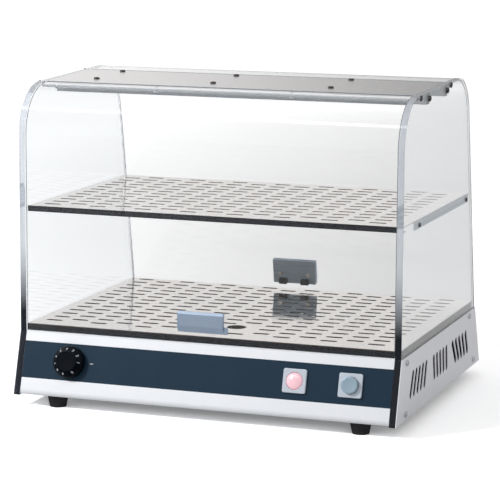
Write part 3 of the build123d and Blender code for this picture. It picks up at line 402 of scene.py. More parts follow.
@dataclass(frozen=True)
class Finish:
    """An opaque surface: its colour, gloss, fine relief and rubbed edges.

    Where an upright colour is given, faces that stand upright, such as the walls of cut slots,
    have it and aren't metal: painted shade in the holes of the perforated steel and a painted
    highlight on the top plate's lip.
    """

    name: str
    colour: Colour
    roughness: float = 0.5
    metallic: float = 0.0
    mottle: float = 0.05
    mottle_scale: float = 18.0
    spread: float = 0.05
    relief: Relief = Relief.MOULDED
    depth: float = 0.05
    coat: float = 0.0
    edge: float = 0.0
    edge_colour: Colour = (0.6, 0.6, 0.6)
    edge_radius: float = 0.0004
    # Painted glow: light given off by a part that is no lamp
    glow: float = 0.0
    glow_colour: Colour = (1.0, 1.0, 1.0)
    specular: float = 0.5
    wall: Colour | None = None

    def build(self, effects: Effects) -> bpy.types.Material:
        """Makes the material.

        Args:
            effects: The shared node groups.

        Returns:
            The material, read by Object coordinates.
        """
        material, nodes, shader = new_material(self.name)
        where = nodes.add("TexCoord").outputs["Object"]
        surface = effects.place(nodes, Effect.MOTTLE, Vector=where, Colour=(*self.colour, 1),
                                Amount=self.mottle, Scale=self.mottle_scale,
                                Roughness=self.roughness, Spread=self.spread)
        colour = surface.outputs["Colour"]
        grain = effects.place(nodes, Effect.GRAIN, Vector=where, Stretch=self.relief.value,
                              Detail=3.0)
        bump = nodes.add("Bump", in_Strength=self.depth, in_Distance=RELIEF_HEIGHT,
                         in_Height=grain.outputs["Height"])
        if self.edge:
            worn = effects.place(nodes, Effect.WORN_EDGE, Vector=where,
                                 Radius=self.edge_radius, Amount=self.edge)
            colour = nodes.blend(worn.outputs["Mask"], colour, (*self.edge_colour, 1))
            nodes.feed(bump, {"Normal": worn.outputs["Normal"]})
        metal = self.metallic
        # Upright faces get painted light and shade: shade in cut holes, a highlight on a lip
        if self.wall:
            share = nodes.ramp(nodes.facing(2), *FACING, 1.0, 0.0)
            colour = nodes.blend(share, colour, (*self.wall, 1))
            metal = nodes.ramp(share, 0.0, 1.0, self.metallic, 0.0)
        nodes.feed(shader, {
            "Base Color": colour, "Metallic": metal, "Roughness": surface.outputs["Roughness"],
            "Normal": bump, "Specular IOR Level": self.specular,
            "Coat Weight": self.coat, "Coat Roughness": COAT_ROUGHNESS,
            "Emission Strength": self.glow, "Emission Color": (*self.glow_colour, 1)})
        return material


def new_material(name: str) -> tuple[bpy.types.Material, Nodes, bpy.types.Node]:
    """An empty material with its nodes and its Principled shader, linked to the output."""
    material = bpy.data.materials.new(name)
    material.use_nodes = True
    tree = material.node_tree
    tree.nodes.clear()
    nodes = Nodes(tree)
    shader = nodes.add("BsdfPrincipled")
    nodes.add("OutputMaterial", in_Surface=shader)
    return material, nodes, shader


@dataclass(frozen=True)
class ClearSheet:
    """Polished clear acrylic that lets lamps through, greyer in its sawn edges.

    The edges are the faces that look sideways, or those that don't, as edge_along says, and
    they turn from one colour to a darker one below a height: painted shade where the sheet is
    no longer lit from both sides. They are only partly clear.
    """

    name: str
    tint: Colour
    shade: Colour
    edge: Colour
    low_edge: Colour
    edge_along: bool
    edge_clear: float
    index: float = 1.49
    smear: float = 0.012

    def build(self, effects: Effects) -> bpy.types.Material:
        """Makes the material.

        Args:
            effects: The shared node groups.

        Returns:
            The clear material, with faint wiping smears in its gloss.
        """
        material, nodes, shader = new_material(self.name)
        where = nodes.add("TexCoord").outputs["Object"]
        surface = effects.place(nodes, Effect.MOTTLE, Vector=where, Colour=(*self.tint, 1),
                                Amount=0.01, Scale=7.0, Roughness=self.smear, Spread=self.smear)
        ends = (0.0, 1.0) if self.edge_along else (1.0, 0.0)
        share = nodes.ramp(nodes.facing(0), *FACING, *ends)
        # Painted shade: the sawn edges darken towards the bottom of the sheet
        lit = nodes.ramp(nodes.part(where, 2), *EDGE_SHADE_TURN, 0.0, 1.0)
        sawn = nodes.blend(lit, (*self.low_edge, 1), (*self.edge, 1))
        nodes.feed(shader, {
            "Base Color": nodes.blend(share, surface.outputs["Colour"], sawn),
            "Roughness": surface.outputs["Roughness"], "IOR": self.index,
            "Transmission Weight": nodes.ramp(share, 0.0, 1.0, 1.0, self.edge_clear)})
        path = nodes.add("LightPath")
        light = nodes.math("MAXIMUM", path.outputs["Is Shadow Ray"],
                           path.outputs["Is Diffuse Ray"])
        open_way = nodes.add("BsdfTransparent", in_Color=(*self.shade, 1))
        mix = nodes.add("MixShader", in_0=light, in_1=shader, in_2=open_way)
        output = next(n for n in nodes.tree.nodes if n.type == "OUTPUT_MATERIAL")
        nodes.feed(output, {"Surface": mix})
        return material


# The acrylic's light edge colour is its frosted edge and its dark one painted shade low down;
# both pane edge colours are painted shade for the dark lines along the panes' ends
ACRYLIC = ClearSheet("clear_acrylic", (0.955, 0.972, 0.99), (0.94, 0.95, 0.955),
                     (0.80, 0.84, 0.90), (0.030, 0.036, 0.050), False, 0.6)
PANE_ACRYLIC = ClearSheet("clear_pane_acrylic", (0.985, 0.988, 0.99), (0.94, 0.945, 0.95),
                          (0.16, 0.19, 0.24), (0.06, 0.07, 0.09), True, 0.0)
COVER_PAINT = Finish("cover_paint", (0.90, 0.91, 0.96), 0.46, mottle=0.03, relief=Relief.PEEL,
                     depth=0.12, coat=0.4, edge=0.5, edge_colour=(0.93, 0.94, 0.97))
BAND_ALUMINIUM = Finish("band_aluminium", (0.90, 0.92, 0.96), 0.38, 0.08, mottle=0.03,
                        relief=Relief.BRUSHED_ACROSS, depth=0.10, edge=0.5,
                        edge_colour=(0.95, 0.96, 0.98))
NAVY_FILM = Finish("navy_film", (0.011, 0.033, 0.060), 0.34, mottle=0.06, mottle_scale=9.0,
                   depth=0.10, specular=0.25)
BLACK_TRIM = Finish("black_trim", (0.005, 0.007, 0.012), 0.40, relief=Relief.PEEL, depth=0.10,
                    edge=0.2, edge_colour=(0.03, 0.03, 0.04), specular=0.05)
# Its upright colour is painted shade in the walls of its holes
PERFORATED_STEEL = Finish("perforated_steel", (0.655, 0.615, 0.585), 0.08, 1.0, mottle=0.04,
                          spread=0.02, relief=Relief.BRUSHED_ACROSS, depth=0.04,
                          wall=(0.10, 0.075, 0.06))
BRACKET_STEEL = Finish("bracket_steel", (0.72, 0.79, 0.86), 0.35, 0.2, mottle=0.04,
                       relief=Relief.BRUSHED_ACROSS, depth=0.06)
# Its upright colour is a painted highlight on the front lip and edges, not metal
TOP_STEEL = Finish("top_steel", (0.76, 0.74, 0.735), 0.26, 1.0, mottle=0.03,
                   relief=Relief.BRUSHED_ACROSS, depth=0.08, wall=(0.74, 0.74, 0.76))
RAIL_STEEL = Finish("rail_steel", (0.15, 0.19, 0.23), 0.34, 0.3, mottle=0.08,
                    relief=Relief.ROLLED, depth=0.10)
HINGE_ALUMINIUM = Finish("hinge_aluminium", (0.14, 0.17, 0.205), 0.32, 0.7, mottle=0.03,
                         relief=Relief.BRUSHED_ACROSS, depth=0.08)
HANDLE_ALUMINIUM = Finish("handle_aluminium", (0.42, 0.52, 0.67), 0.36, 0.4, mottle=0.04,
                          relief=Relief.BRUSHED_ACROSS, depth=0.10, edge=0.8,
                          edge_colour=(0.85, 0.88, 0.92), edge_radius=0.0006)
CLAMP_ALUMINIUM = Finish("clamp_aluminium", (0.33, 0.40, 0.47), 0.30, 0.4, mottle=0.05,
                         relief=Relief.BRUSHED_ACROSS, depth=0.10, edge=0.6,
                         edge_colour=(0.5, 0.54, 0.6))
BLACK_RUBBER = Finish("black_rubber", (0.016, 0.016, 0.018), 0.72, mottle=0.12,
                      mottle_scale=60.0, relief=Relief.PEEL, depth=0.3)
KNOB_PLASTIC = Finish("knob_plastic", (0.0015, 0.003, 0.006), 0.42, mottle=0.08,
                      mottle_scale=60.0, depth=0.15, specular=0.08)
NUMERAL_INK = Finish("numeral_ink", (0.50, 0.53, 0.58), 0.55, mottle=0.10, mottle_scale=200.0)
BEZEL_PLASTIC = Finish("bezel_plastic", (0.68, 0.74, 0.83), 0.24, 0.2, mottle=0.03,
                       depth=0.04, coat=0.3, edge=0.5, edge_colour=(0.92, 0.94, 0.96))
BUTTON_PLASTIC = Finish("button_plastic", (0.34, 0.46, 0.55), 0.30, 0.15, mottle=0.05,
                        depth=0.06, coat=0.4)
# The lens's glow is painted light; no lamp lights it
LENS_PLASTIC = Finish("lens_plastic", (0.92, 0.60, 0.66), 0.22, mottle=0.06,
                      mottle_scale=120.0, depth=0.05, coat=1.0, glow=0.22,
                      glow_colour=(1.0, 0.52, 0.58))
BODY_PLASTIC = Finish("body_plastic", (0.05, 0.05, 0.055), 0.45, mottle=0.08, depth=0.15)
GALVANISED = Finish("galvanised_steel", (0.56, 0.57, 0.58), 0.42, 0.8, mottle=0.16,
                    mottle_scale=55.0, spread=0.12, relief=Relief.ROLLED, depth=0.12)
TRAY_STEEL = Finish("tray_steel", (0.66, 0.65, 0.63), 0.30, 0.9, mottle=0.07,
                    relief=Relief.BRUSHED_ACROSS, depth=0.08)
ELEMENT_SHEATH = Finish("element_sheath", (0.055, 0.05, 0.045), 0.5, 0.5, mottle=0.25,
                        mottle_scale=40.0, relief=Relief.ROLLED, depth=0.15)
COPPER = Finish("copper", (0.66, 0.30, 0.18), 0.34, 1.0, mottle=0.15, mottle_scale=45.0)
NICKEL = Finish("nickel", (0.62, 0.60, 0.55), 0.28, 1.0, mottle=0.06, depth=0.05)
DARK_SCREW = Finish("dark_screw", (0.065, 0.060, 0.058), 0.38, 0.6, mottle=0.12,
                    mottle_scale=160.0, edge=0.6, edge_colour=(0.25, 0.24, 0.23),
                    edge_radius=0.0003)
ZINC_SCREW = Finish("zinc_screw", (0.60, 0.61, 0.64), 0.34, 0.9, mottle=0.10,
                    mottle_scale=160.0)
BLOCK_CERAMIC = Finish("block_ceramic", (0.74, 0.71, 0.64), 0.5, mottle=0.05, depth=0.12)
LEAD_SILICONE = Finish("lead_silicone", (0.58, 0.55, 0.50), 0.6, mottle=0.08, depth=0.15)

NODE_FINISHES: dict[Finish | ClearSheet, tuple[str, ...]] = {
    ACRYLIC: ("side_panel_left", "side_panel_right"),
    PANE_ACRYLIC: ("front_pane", "rear_pane"),
    COVER_PAINT: ("side_cover_left", "side_cover_right", "base_rear_panel"),
    BAND_ALUMINIUM: ("upper_front_band", "lower_front_band"),
    NAVY_FILM: ("control_panel",),
    BLACK_TRIM: ("deck_frame", "shelf_front_trim"),
    PERFORATED_STEEL: ("deck_plate", "shelf_plate"),
    BRACKET_STEEL: ("shelf_bracket_left", "shelf_bracket_right"),
    TOP_STEEL: ("top_plate",),
    RAIL_STEEL: ("front_rail", "rear_rail", "rail_end_blocks"),
    HINGE_ALUMINIUM: ("front_hinge_profile", "rear_hinge_profile"),
    HANDLE_ALUMINIUM: ("front_handle", "rear_handle"),
    CLAMP_ALUMINIUM: ("rear_handle_clamp",),
    BLACK_RUBBER: ("feet", "rear_handle_bumpers"),
    BEZEL_PLASTIC: ("pilot_bezel", "switch_bezel"),
    BODY_PLASTIC: ("pilot_body", "switch_body", "thermostat_body", "control_nuts",
                   "power_inlet"),
    GALVANISED: ("base_pan", "tray_posts"),
    TRAY_STEEL: ("reflector_tray", "element_clips"),
    ELEMENT_SHEATH: ("heating_element",),
    COPPER: ("capillary_tube", "thermostat_bulb"),
    NICKEL: ("electrical_terminals", "inlet_pins", "thermostat_shaft", "front_handle_screws",
             "rear_handle_screws", "foot_screws"),
    BLOCK_CERAMIC: ("terminal_block",),
    LEAD_SILICONE: ("internal_leads",),
}


class Wardrobe:
    """Makes each finish once and dresses pieces in it."""

    def __init__(self) -> None:
        """Makes the shared effects."""
        self.effects = Effects()
        self.made: dict[str, bpy.types.Material] = {}

    def dress(self, piece: bpy.types.Object, finish: Finish | ClearSheet) -> None:
        """Gives a piece its material.

        Args:
            piece: The object.
            finish: The finish that it gets.
        """
        if finish.name not in self.made:
            self.made[finish.name] = finish.build(self.effects)
        material = self.made[finish.name]
        if piece.data.materials:
            for slot in piece.material_slots:
                slot.material = material
        else:
            piece.data.materials.append(material)


@dataclass(frozen=True)
class PanHead:
    """Pan-head screw with a cross recess.

    The crown's drop and the recess's depth are shares of the rise, and the arms' half width
    and reach are shares of the head's diameter.
    """

    shank: float
    head: float
    rise: float
    crown_drop: float = 0.35
    arm_width: float = 0.085
    arm_reach: float = 0.30
    recess_depth: float = 0.55
    columns: int = 32

    def shape(self, length: float) -> Shape:
        """Points and faces of one screw about its seat, head outwards.

        The head's top is a flattened dome, h = rise (1 - drop (r / R)^4), and the cross sinks
        where |x| or |y| is under the arm's half width and r is under the arm's reach.

        Args:
            length: Length of the shank under the seat.

        Returns:
            The points and the faces.
        """
        full = self.head / 2
        top = full * np.linspace(0.97, 0.08, 12)
        radii = np.concatenate([[self.shank / 2] * 2, [full * 0.96, full], top])
        crown = self.rise * (1 - self.crown_drop * (top / full) ** 4)
        heights = np.concatenate([[-length, -length, 0, 0, self.rise * 0.4], crown,
                                  [self.rise]])
        points, faces = lathe(radii, heights, self.columns)
        spread = np.hypot(points[:, 0], points[:, 1])
        nearest = np.minimum(np.abs(points[:, 0]), np.abs(points[:, 1]))
        arm = np.clip((self.head * self.arm_width - nearest) / (self.head * 0.02) + 0.5, 0, 1)
        reach = np.clip((self.head * self.arm_reach - spread) / (self.head * 0.04) + 0.5, 0, 1)
        above = points[:, 2] > self.rise * 0.5
        points[:, 2] -= above * arm * reach * self.rise * self.recess_depth
        return points, faces


LARGE_SCREW = PanHead(4.0, 7.6, 2.2)
SMALL_SCREW = PanHead(3.0, 5.6, 1.6)


@dataclass
class Fasteners:
    """Every screw whose head shows."""

    case_outer: float = 251.0
    panel_outer: float = 250.0
    panel: float = 8.0
    cover: float = 1.0
    sheet: float = 1.2
    rail_depths: tuple[float, float] = (107.0, 193.0)
    rail_size: float = 14.0
    rail_wall: float = 1.5
    top_xs: tuple[float, ...] = (-190.0, -31.0, 124.0)
    hinge_depths: tuple[float, float] = (66.0, 209.0)
    hinge_drop: float = 3.2
    ledge_drop: float = 7.2
    cover_places: tuple[tuple[float, float], ...] = (
        (21.7, 86.5), (329.3, 87.5), (355.2, 24.0), (18.0, 24.0))
    bracket_depths: tuple[float, float] = (71.0, 302.0)
    bracket_height: float = 247.9
    rear_xs: tuple[float, ...] = (-225.0, 0.0, 225.0)
    rear_height: float = 26.0
    inlet_x: float = -150.0
    inlet_down: float = 45.0
    inlet_reach: float = 20.0
    inlet_flange: float = 2.5
    pane_xs: tuple[float, float] = (-89.0, 89.0)
    pane_step: float = 6.5
    panel_grip: float = 10.0
    rail_grip: float = 4.0
    bracket_wall: float = 1.5
    rear_length: float = 2.7
    inlet_length: float = 5.2
    pane_length: float = 5.7

    def both_sides(self, outer: float, places: list[tuple[float, float]]) -> list[Seat]:
        """Seats on the two sides of the case at the same depths and heights."""
        return [Seat((side * outer, y, z), (0, side, 0), (side, 0, 0))
                for side in (1, -1) for y, z in places]

    def build(self, maker: Maker, wardrobe: Wardrobe) -> None:
        """Makes the screws and puts them in place of their plain solids."""
        rails = [(y, top_surface(y) - (self.sheet + self.rail_size / 2) / math.cos(SLOPE_ANGLE))
                 for y in self.rail_depths]
        hinges = [(y, top_surface(y) - self.hinge_drop) for y in self.hinge_depths]
        brackets = [(y, self.bracket_height) for y in self.bracket_depths]
        tops = [Seat((x, y, top_surface(y)), (1, 0, 0),
                     (0, -math.sin(SLOPE_ANGLE), math.cos(SLOPE_ANGLE)))
                for y in self.rail_depths for x in self.top_xs]
        down = (FLARE_TOP - self.rear_height) / math.cos(REAR_ANGLE)
        rear = [Flare.REAR.seat(x, down) for x in self.rear_xs]
        inlet = [Flare.REAR.seat(self.inlet_x + step, self.inlet_down, self.inlet_flange)
                 for step in (-self.inlet_reach, self.inlet_reach)]
        covers = self.both_sides(self.case_outer, list(self.cover_places))
        rails, hinges, brackets = (self.both_sides(self.panel_outer, places)
                                   for places in (rails, hinges, brackets))
        through_panel = self.panel + self.panel_grip
        through_rail = self.sheet + self.rail_wall + self.rail_grip
        for node, finish, groups in (
                ("side_cover_screws", ZINC_SCREW,
                 [(LARGE_SCREW, self.panel + self.cover + self.sheet, covers)]),
                ("rail_screws", DARK_SCREW,
                 [(LARGE_SCREW, through_panel, rails), (LARGE_SCREW, through_rail, tops)]),
                ("hinge_pins", DARK_SCREW, [(LARGE_SCREW, through_panel, hinges)]),
                ("shelf_bracket_screws", DARK_SCREW,
                 [(SMALL_SCREW, self.panel + self.bracket_wall, brackets)]),
                ("rear_panel_screws", ZINC_SCREW,
                 [(SMALL_SCREW, self.rear_length, rear),
                  (SMALL_SCREW, self.inlet_length, inlet)])):
            self.place(maker, wardrobe, node, "case", finish, groups)
        for which, depth, toward in (("front", self.hinge_depths[0], -1),
                                     ("rear", self.hinge_depths[1], 1)):
            low = top_surface(depth) - self.ledge_drop
            seats = [Seat((x, depth + toward * self.pane_step, low), (1, 0, 0), (0, 0, -1))
                     for x in self.pane_xs]
            self.place(maker, wardrobe, f"{which}_pane_screws", f"{which}_door", ZINC_SCREW,
                       [(SMALL_SCREW, self.pane_length, seats)])

    def place(self, maker: Maker, wardrobe: Wardrobe, node: str, body: str, finish: Finish,
              groups: list[tuple[PanHead, float, list[Seat]]]) -> None:
        """Makes one node's screws as a single piece.

        Args:
            maker: Makes the object.
            wardrobe: Dresses it.
            node: The node that the piece stands for.
            body: The body that it rides on.
            finish: The screws' finish.
            groups: Kinds of screw, their lengths and their seats.
        """
        parts = []
        for kind, length, seats in groups:
            points, faces = kind.shape(length)
            parts += [(seat.to_case(points), faces) for seat in seats]
        piece = maker.object(node + "_cross_headed", *joined(parts), body)
        wardrobe.dress(piece, finish)
        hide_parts(node)


@dataclass
class Knob:
    """Thermostat knob with numbers on its cone, and the mark beside it."""

    x: float = -177.5
    down: float = 35.0
    radius: float = 20.25
    face_radius: float = 13.5
    gap: float = 0.8
    rim: float = 8.0
    height: float = 14.5
    ribs: int = 60
    rib_depth: float = 0.45
    columns: int = 480
    numeral_size: float = 5.2
    numeral_radius: float = 15.9
    numeral_rise: float = 0.12
    mark_x: float = -148.6
    mark_half: tuple[float, float] = (2.2, 0.55)
    mark_heights: tuple[float, float] = (-0.02, 0.06)
    first_angle: float = 92.0
    angle_step: float = -32.5
    zero_angle: float = 145.0

    def build(self, maker: Maker, wardrobe: Wardrobe) -> None:
        """Makes the knob, its numbers and the mark on the panel."""
        seat = Flare.FRONT.seat(self.x, self.down)
        points, faces = self.body_shape()
        knob = maker.object("knob_ribbed", seat.to_case(points), faces, "knob", 35.0)
        wardrobe.dress(knob, KNOB_PLASTIC)
        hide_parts("knob")
        numerals = maker.object("knob_numerals", *self.numerals(seat), "knob", 30.0)
        wardrobe.dress(numerals, NUMERAL_INK)
        wardrobe.dress(self.mark(maker), NUMERAL_INK)

    def body_shape(self) -> Shape:
        """The turned body, with ribs r - d (1 + cos nt) / 2 round its rim.

        Its rings go up the rounded rim, then the cone, then over the edge into the dish.
        """
        rim = [(self.radius - 1.2, self.gap), (self.radius - 0.4, self.gap + 0.15),
               (self.radius, self.gap + 0.6), (self.radius, self.rim - 0.7),
               (self.radius - 0.15, self.rim - 0.2), (self.radius - 0.6, self.rim + 0.3)]
        cone = [(self.radius + (self.face_radius - self.radius) * share,
                 self.rim + (self.height - self.rim) * share) for share in (0.25, 0.5, 0.75)]
        dish = [(self.face_radius + 0.4, self.height - 0.5),
                (self.face_radius - 0.2, self.height - 0.1),
                (self.face_radius - 0.8, self.height), (self.face_radius - 1.6, self.height),
                (self.face_radius - 2.2, self.height - 0.5),
                (self.face_radius * 0.5, self.height - 0.6), (0.8, self.height - 0.7)]
        radii, rings = np.array(rim + cone + dish).T
        heights = np.concatenate([[self.gap], rings, [self.height - 0.7]])
        angle = np.linspace(0, 2 * math.pi, self.columns, endpoint=False)
        wave = (1 + np.cos(self.ribs * angle)) / 2
        strength = np.zeros(len(radii))
        strength[2:5] = self.rib_depth
        strength[5] = self.rib_depth * 0.4
        return lathe(radii, heights, self.columns, -strength[:, None] * wave)

    def numerals(self, seat: Seat) -> Shape:
        """Numbers 0 to 9, laid round the cone with their tops outwards.

        A point (u, v) of a number goes to radius R + v cos s, height H - v sin s and clock
        angle a - u / R, where s is the cone's slope.

        Args:
            seat: The knob's seat.

        Returns:
            Points and faces of all ten numbers.
        """
        angles = {str(n): self.first_angle + self.angle_step * (n - 1) for n in range(1, 10)}
        angles["0"] = self.zero_angle
        slope = math.atan2(self.height - self.rim, self.radius - self.face_radius)
        share = (self.radius - self.numeral_radius) / (self.radius - self.face_radius)
        middle = self.rim + (self.height - self.rim) * share
        parts = []
        for text, clock in angles.items():
            flat, faces = glyph(text, self.numeral_size, self.numeral_rise)
            outward = self.numeral_radius + flat[:, 1] * math.cos(slope)
            turn = math.radians(clock) + flat[:, 0] / self.numeral_radius
            lift = flat[:, 2] - 0.03
            radius = outward + lift * math.sin(slope)
            height = middle - flat[:, 1] * math.sin(slope) + lift * math.cos(slope)
            points = np.stack([radius * np.sin(turn), radius * np.cos(turn), height], -1)
            parts.append((seat.to_case(points), faces))
        return joined(parts)

    def mark(self, maker: Maker) -> bpy.types.Object:
        """The printed dash on the panel that the numbers are read against."""
        wide, high = self.mark_half
        x = np.array([-wide, wide, wide, -wide] * 2)
        y = np.array([-high, -high, high, high] * 2)
        z = np.repeat(self.mark_heights, 4)
        faces = [np.array([[3, 2, 1, 0], [4, 5, 6, 7], [0, 1, 5, 4], [1, 2, 6, 5],
                           [2, 3, 7, 6], [3, 0, 4, 7]])]
        seat = Flare.FRONT.seat(self.mark_x, self.down)
        return maker.object("setting_mark", seat.to_case(np.stack([x, y, z], -1)), faces,
                            "case")


def glyph(text: str, size: float, rise: float) -> Shape:
    """A number as a thin solid, centred on its middle.

    Args:
        text: The number.
        size: Its type size.
        rise: Its thickness.

    Returns:
        The points, and one array of triangles.
    """
    curve = bpy.data.curves.new("glyph", "FONT")
    curve.body = text
    curve.size = size
    curve.extrude = rise / 2
    curve.offset = 0.12
    curve.resolution_u = 3
    curve.align_x, curve.align_y = "CENTER", "CENTER"
    holder = in_scene("glyph", curve)
    graph = bpy.context.evaluated_depsgraph_get()
    mesh = bpy.data.meshes.new_from_object(holder.evaluated_get(graph), depsgraph=graph)
    mesh.calc_loop_triangles()
    points = np.empty(len(mesh.vertices) * 3)
    mesh.vertices.foreach_get("co", points)
    corners = np.empty(len(mesh.loop_triangles) * 3, dtype=int)
    mesh.loop_triangles.foreach_get("vertices", corners)
    bpy.data.objects.remove(holder)
    bpy.data.curves.remove(curve)
    bpy.data.meshes.remove(mesh)
    points = points.reshape(-1, 3)
    points -= (points.min(0) + points.max(0)) / 2
    return points, [corners.reshape(-1, 3)]


@dataclass
class Controls:
    """Pilot lens and push button, turned pieces on the front face."""

    down: float = 35.0
    lens_x: float = 119.5
    lens_radius: float = 10.0
    lens_flange: float = 10.6
    lens_rise: float = 3.5
    lens_dome: float = 3.0
    flutes: int = 24
    flute_depth: float = 0.12
    button_x: float = 190.3
    button_radius: float = 10.5
    button_rise: float = 8.0
    button_depth: float = 6.0
    button_edge: float = 1.2
    button_dish: float = 0.5
    columns: int = 96

    def build(self, maker: Maker, wardrobe: Wardrobe) -> None:
        """Makes the lens and the button."""
        lens = maker.object("pilot_lens_fluted", *self.lens(), "case", 35.0)
        wardrobe.dress(lens, LENS_PLASTIC)
        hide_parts("pilot_lens")
        button = maker.object("power_button_dished", *self.button(), "power_button", 35.0)
        wardrobe.dress(button, BUTTON_PLASTIC)
        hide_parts("power_button")

    def lens(self) -> Shape:
        """Domed lens h = rise + dome (1 - (r / R)^2), with flutes r - d (1 + cos nt)."""
        dome = np.linspace(0.97, 0.06, 9)
        radii = np.concatenate([[self.lens_flange] * 2, [self.lens_radius] * 3,
                                self.lens_radius * dome])
        heights = np.concatenate([[-2, -2, 0, 0, self.lens_rise * 0.5, self.lens_rise],
                                  self.lens_rise + self.lens_dome * (1 - dome ** 2),
                                  [self.lens_rise + self.lens_dome]])
        angle = np.linspace(0, 2 * math.pi, self.columns, endpoint=False)
        ripple = np.zeros((len(radii), self.columns))
        ripple[3:5] = -self.flute_depth * (1 + np.cos(self.flutes * angle))
        points, faces = lathe(radii, heights, self.columns, ripple)
        return Flare.FRONT.seat(self.lens_x, self.down).to_case(points), faces

    def button(self) -> Shape:
        """Round button with a quarter-round edge and a shallow dish in its top."""
        turn = np.linspace(0, math.pi / 2, 6)
        edge = self.button_edge
        rim = self.button_radius - edge
        dish = np.linspace(0.85, 0.08, 7)
        radii = np.concatenate([[self.button_radius - 0.2, self.button_radius],
                                rim + edge * np.cos(turn), rim * dish])
        heights = np.concatenate([
            [-self.button_depth, -self.button_depth, -self.button_depth + 0.3],
            self.button_rise - edge + edge * np.sin(turn),
            self.button_rise - self.button_dish * (1 - dish ** 2),
            [self.button_rise - self.button_dish]])
        points, faces = lathe(radii, heights, self.columns)
        return Flare.FRONT.seat(self.button_x, self.down).to_case(points), faces


@dataclass
class Camera:
    """The photograph's viewpoint."""

    place: Point = (964.63, -2575.39, 672.19)
    yaw: float = 19.41
    pitch: float = 9.48
    roll: float = 0.35
    focal_share: float = 2279.04 / 500
    sensor: float = 36.0

    def build(self, maker: Maker) -> None:
        """Makes the camera and the scene look through it."""
        yaw, pitch, roll = (math.radians(a) for a in (self.yaw, self.pitch, self.roll))
        ahead = Vector((-math.sin(yaw) * math.cos(pitch), math.cos(yaw) * math.cos(pitch),
                        -math.sin(pitch)))
        level = Vector((math.cos(yaw), math.sin(yaw), 0))
        upright = level.cross(ahead)
        right = math.cos(roll) * level + math.sin(roll) * upright
        top = math.cos(roll) * upright - math.sin(roll) * level
        data = bpy.data.cameras.new("photo_camera")
        data.sensor_width = self.sensor
        data.lens = self.focal_share * self.sensor
        data.clip_start, data.clip_end = 0.1, 100.0
        camera = in_scene("photo_camera", data)
        turn = Matrix((right, top, -ahead)).transposed().to_4x4()
        spot = (np.array(self.place) + maker.shift) * MM
        camera.matrix_world = Matrix.Translation(Vector(spot)) @ turn
        bpy.context.scene.camera = camera


@dataclass(frozen=True)
class Fade:
    """A level that goes from start to end while a value goes from low to high."""

    low: float
    high: float
    start: float
    end: float
    smooth: bool = False

    def level(self, nodes: Nodes, value: Socket) -> Socket:
        """The level at a value."""
        return nodes.ramp(value, self.low, self.high, self.start, self.end, self.smooth)


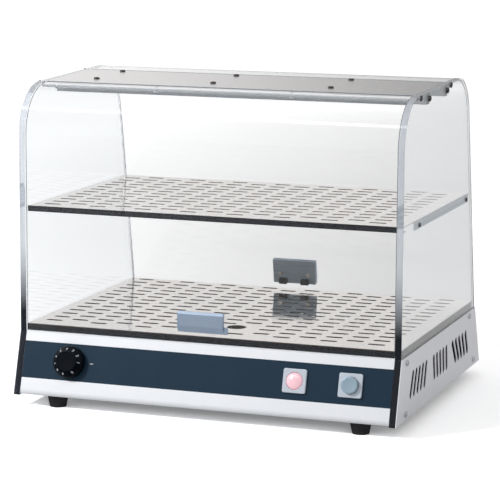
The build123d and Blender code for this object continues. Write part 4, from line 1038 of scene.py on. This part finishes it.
@dataclass
class Studio:
    """White sweep, even sky and two soft lamps.

    The sky's fades run over a part of the ray's direction, and the floor's over metres across
    the floor or along it. A name that ends in gloss is for glossy rays, and one that ends in
    through is for rays that have gone through a clear sheet.
    """

    sky: float = 0.50
    sky_seen: float = 1.0
    rear_way: Point = (0.337, 0.925, 0.17)
    rear_gloss: Fade = Fade(0.70, 0.88, 0.98, 0.20, smooth=True)
    front_gloss: Fade = Fade(-0.75, -0.35, 0.30, 1.0, smooth=True)
    front_through: Fade = Fade(-0.75, -0.35, 0.70, 1.0)
    floor_size: float = 60.0
    floor_lit: float = 0.80
    floor_seen: float = 1.75
    floor_glow: float = 0.16
    floor_gloss: Fade = Fade(-0.35, 0.15, 0.10, 1.48, smooth=True)
    side_through: Fade = Fade(-1.40, 0.20, 1.82, 0.895)
    near_through: Fade = Fade(-0.30, 0.20, 0.60, 1.0)
    far_through: Fade = Fade(1.10, 2.40, 1.14, 1.22)
    key_place: Point = (-1.30, -1.48, 1.45)
    key_size: float = 0.32
    key_power: float = 30.0
    strip_place: Point = (-0.45, -1.35, 1.93)
    strip_size: tuple[float, float] = (2.8, 0.26)
    strip_power: float = 10.0
    target: Point = (0.0, 0.0, 0.2)

    def build(self) -> None:
        """Makes the world, the floor and the lamps. The strip only shines in gloss."""
        self.world()
        self.floor()
        self.lamp("key_lamp", self.key_place, (self.key_size, self.key_size), self.key_power)
        strip = self.lamp("strip_lamp", self.strip_place, self.strip_size, self.strip_power)
        strip.visible_diffuse = False

    def world(self) -> None:
        """Even sky for light, white to the eye, and darker behind and in front to gloss."""
        world = bpy.data.worlds.new("studio")
        world.use_nodes = True
        bpy.context.scene.world = world
        world.cycles.sampling_method = "NONE"
        tree = world.node_tree
        tree.nodes.clear()
        nodes = Nodes(tree)
        ray = nodes.add("TexCoord").outputs["Generated"]
        rearward = nodes.add("VectorMath", operation="DOT_PRODUCT", in_0=ray,
                             in_1=self.rear_way)
        depth = nodes.part(ray, 1)
        gloss = nodes.math("MULTIPLY", self.rear_gloss.level(nodes, rearward.outputs["Value"]),
                           self.front_gloss.level(nodes, depth))
        through = self.front_through.level(nodes, depth)
        level = self.by_ray(nodes, self.sky, gloss, through, self.sky_seen)
        back = nodes.add("Background", in_Color=(1, 1, 1, 1), in_Strength=level)
        nodes.add("OutputWorld", in_Surface=back)

    @staticmethod
    def by_ray(nodes: Nodes, lit: float, gloss: Socket, through: Socket, seen: float) -> Socket:
        """The level that a ray meets, by its kind."""
        path = nodes.add("LightPath")
        level = lit
        for kind, value in (("Is Glossy Ray", gloss), ("Is Transmission Ray", through),
                            ("Is Camera Ray", seen)):
            level = nodes.add("Mix", data_type="FLOAT", in_0=path.outputs[kind], in_2=level,
                              in_3=value).outputs[0]
        return level

    def floor(self) -> None:
        """Floor that is white to the eye and in glass, and dark to gloss before the case."""
        half = self.floor_size / 2
        mesh = bpy.data.meshes.new("floor")
        mesh.from_pydata([(-half, -half, 0), (half, -half, 0), (half, half, 0),
                          (-half, half, 0)], [], [(0, 1, 2, 3)])
        floor = in_scene("floor", mesh)
        material, nodes, shader = new_material("studio_floor")
        where = nodes.add("TexCoord").outputs["Object"]
        across, depth = nodes.part(where, 0), nodes.part(where, 1)
        along = nodes.math("MULTIPLY", self.near_through.level(nodes, depth),
                           self.far_through.level(nodes, depth))
        through = nodes.math("MULTIPLY", self.side_through.level(nodes, across), along)
        gloss = self.floor_gloss.level(nodes, depth)
        level = self.by_ray(nodes, self.floor_lit, gloss, through, self.floor_seen)
        grey = nodes.add("CombineColor", in_0=level, in_1=level, in_2=level)
        seen = nodes.add("LightPath").outputs["Is Camera Ray"]
        nodes.feed(shader, {
            "Base Color": grey, "Roughness": 0.9, "Specular IOR Level": 0.0,
            "Emission Color": (1, 1, 1, 1),
            "Emission Strength": nodes.math("MULTIPLY", seen, self.floor_glow)})
        mesh.materials.append(material)

    def lamp(self, name: str, place: Point, size: tuple[float, float], power: float
             ) -> bpy.types.Object:
        """A soft lamp aimed at the case, which neither the eye nor glass shows."""
        data = bpy.data.lights.new(name, "AREA")
        data.shape = "RECTANGLE"
        data.size, data.size_y = size
        data.energy = power
        lamp = in_scene(name, data)
        lamp.location = place
        lamp.rotation_euler = (Vector(self.target) - Vector(place)).to_track_quat(
            "-Z", "Y").to_euler()
        lamp.visible_camera = False
        lamp.visible_transmission = False
        return lamp


def corners(box: tuple[Vector, Vector]) -> list[list[float]]:
    """A box as two plain lists."""
    return [list(box[0]), list(box[1])]


def main() -> None:
    """Builds the scene in order and logs the pieces still plain."""
    logging.basicConfig(level=logging.INFO, format="%(name)s: %(message)s")
    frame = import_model()
    scene = bpy.context.scene
    scene.view_settings.view_transform = "Standard"
    for name, count in BOUNCES.items():
        setattr(scene.cycles, name, count)
    maker = Maker()
    Camera().build(maker)
    Studio().build()
    wardrobe = Wardrobe()
    for finish, names in NODE_FINISHES.items():
        for name in names:
            wardrobe.dress(frame["nodes"][name], finish)
    Fasteners().build(maker, wardrobe)
    Knob().build(maker, wardrobe)
    Controls().build(maker, wardrobe)
    bare = [name for name, node in frame["nodes"].items()
            if not node.hide_render and node.material_slots
            and node.material_slots[0].material.name not in wardrobe.made]
    LOG.info("pieces still plain: %s", bare)


if __name__ == "__main__":
    main()
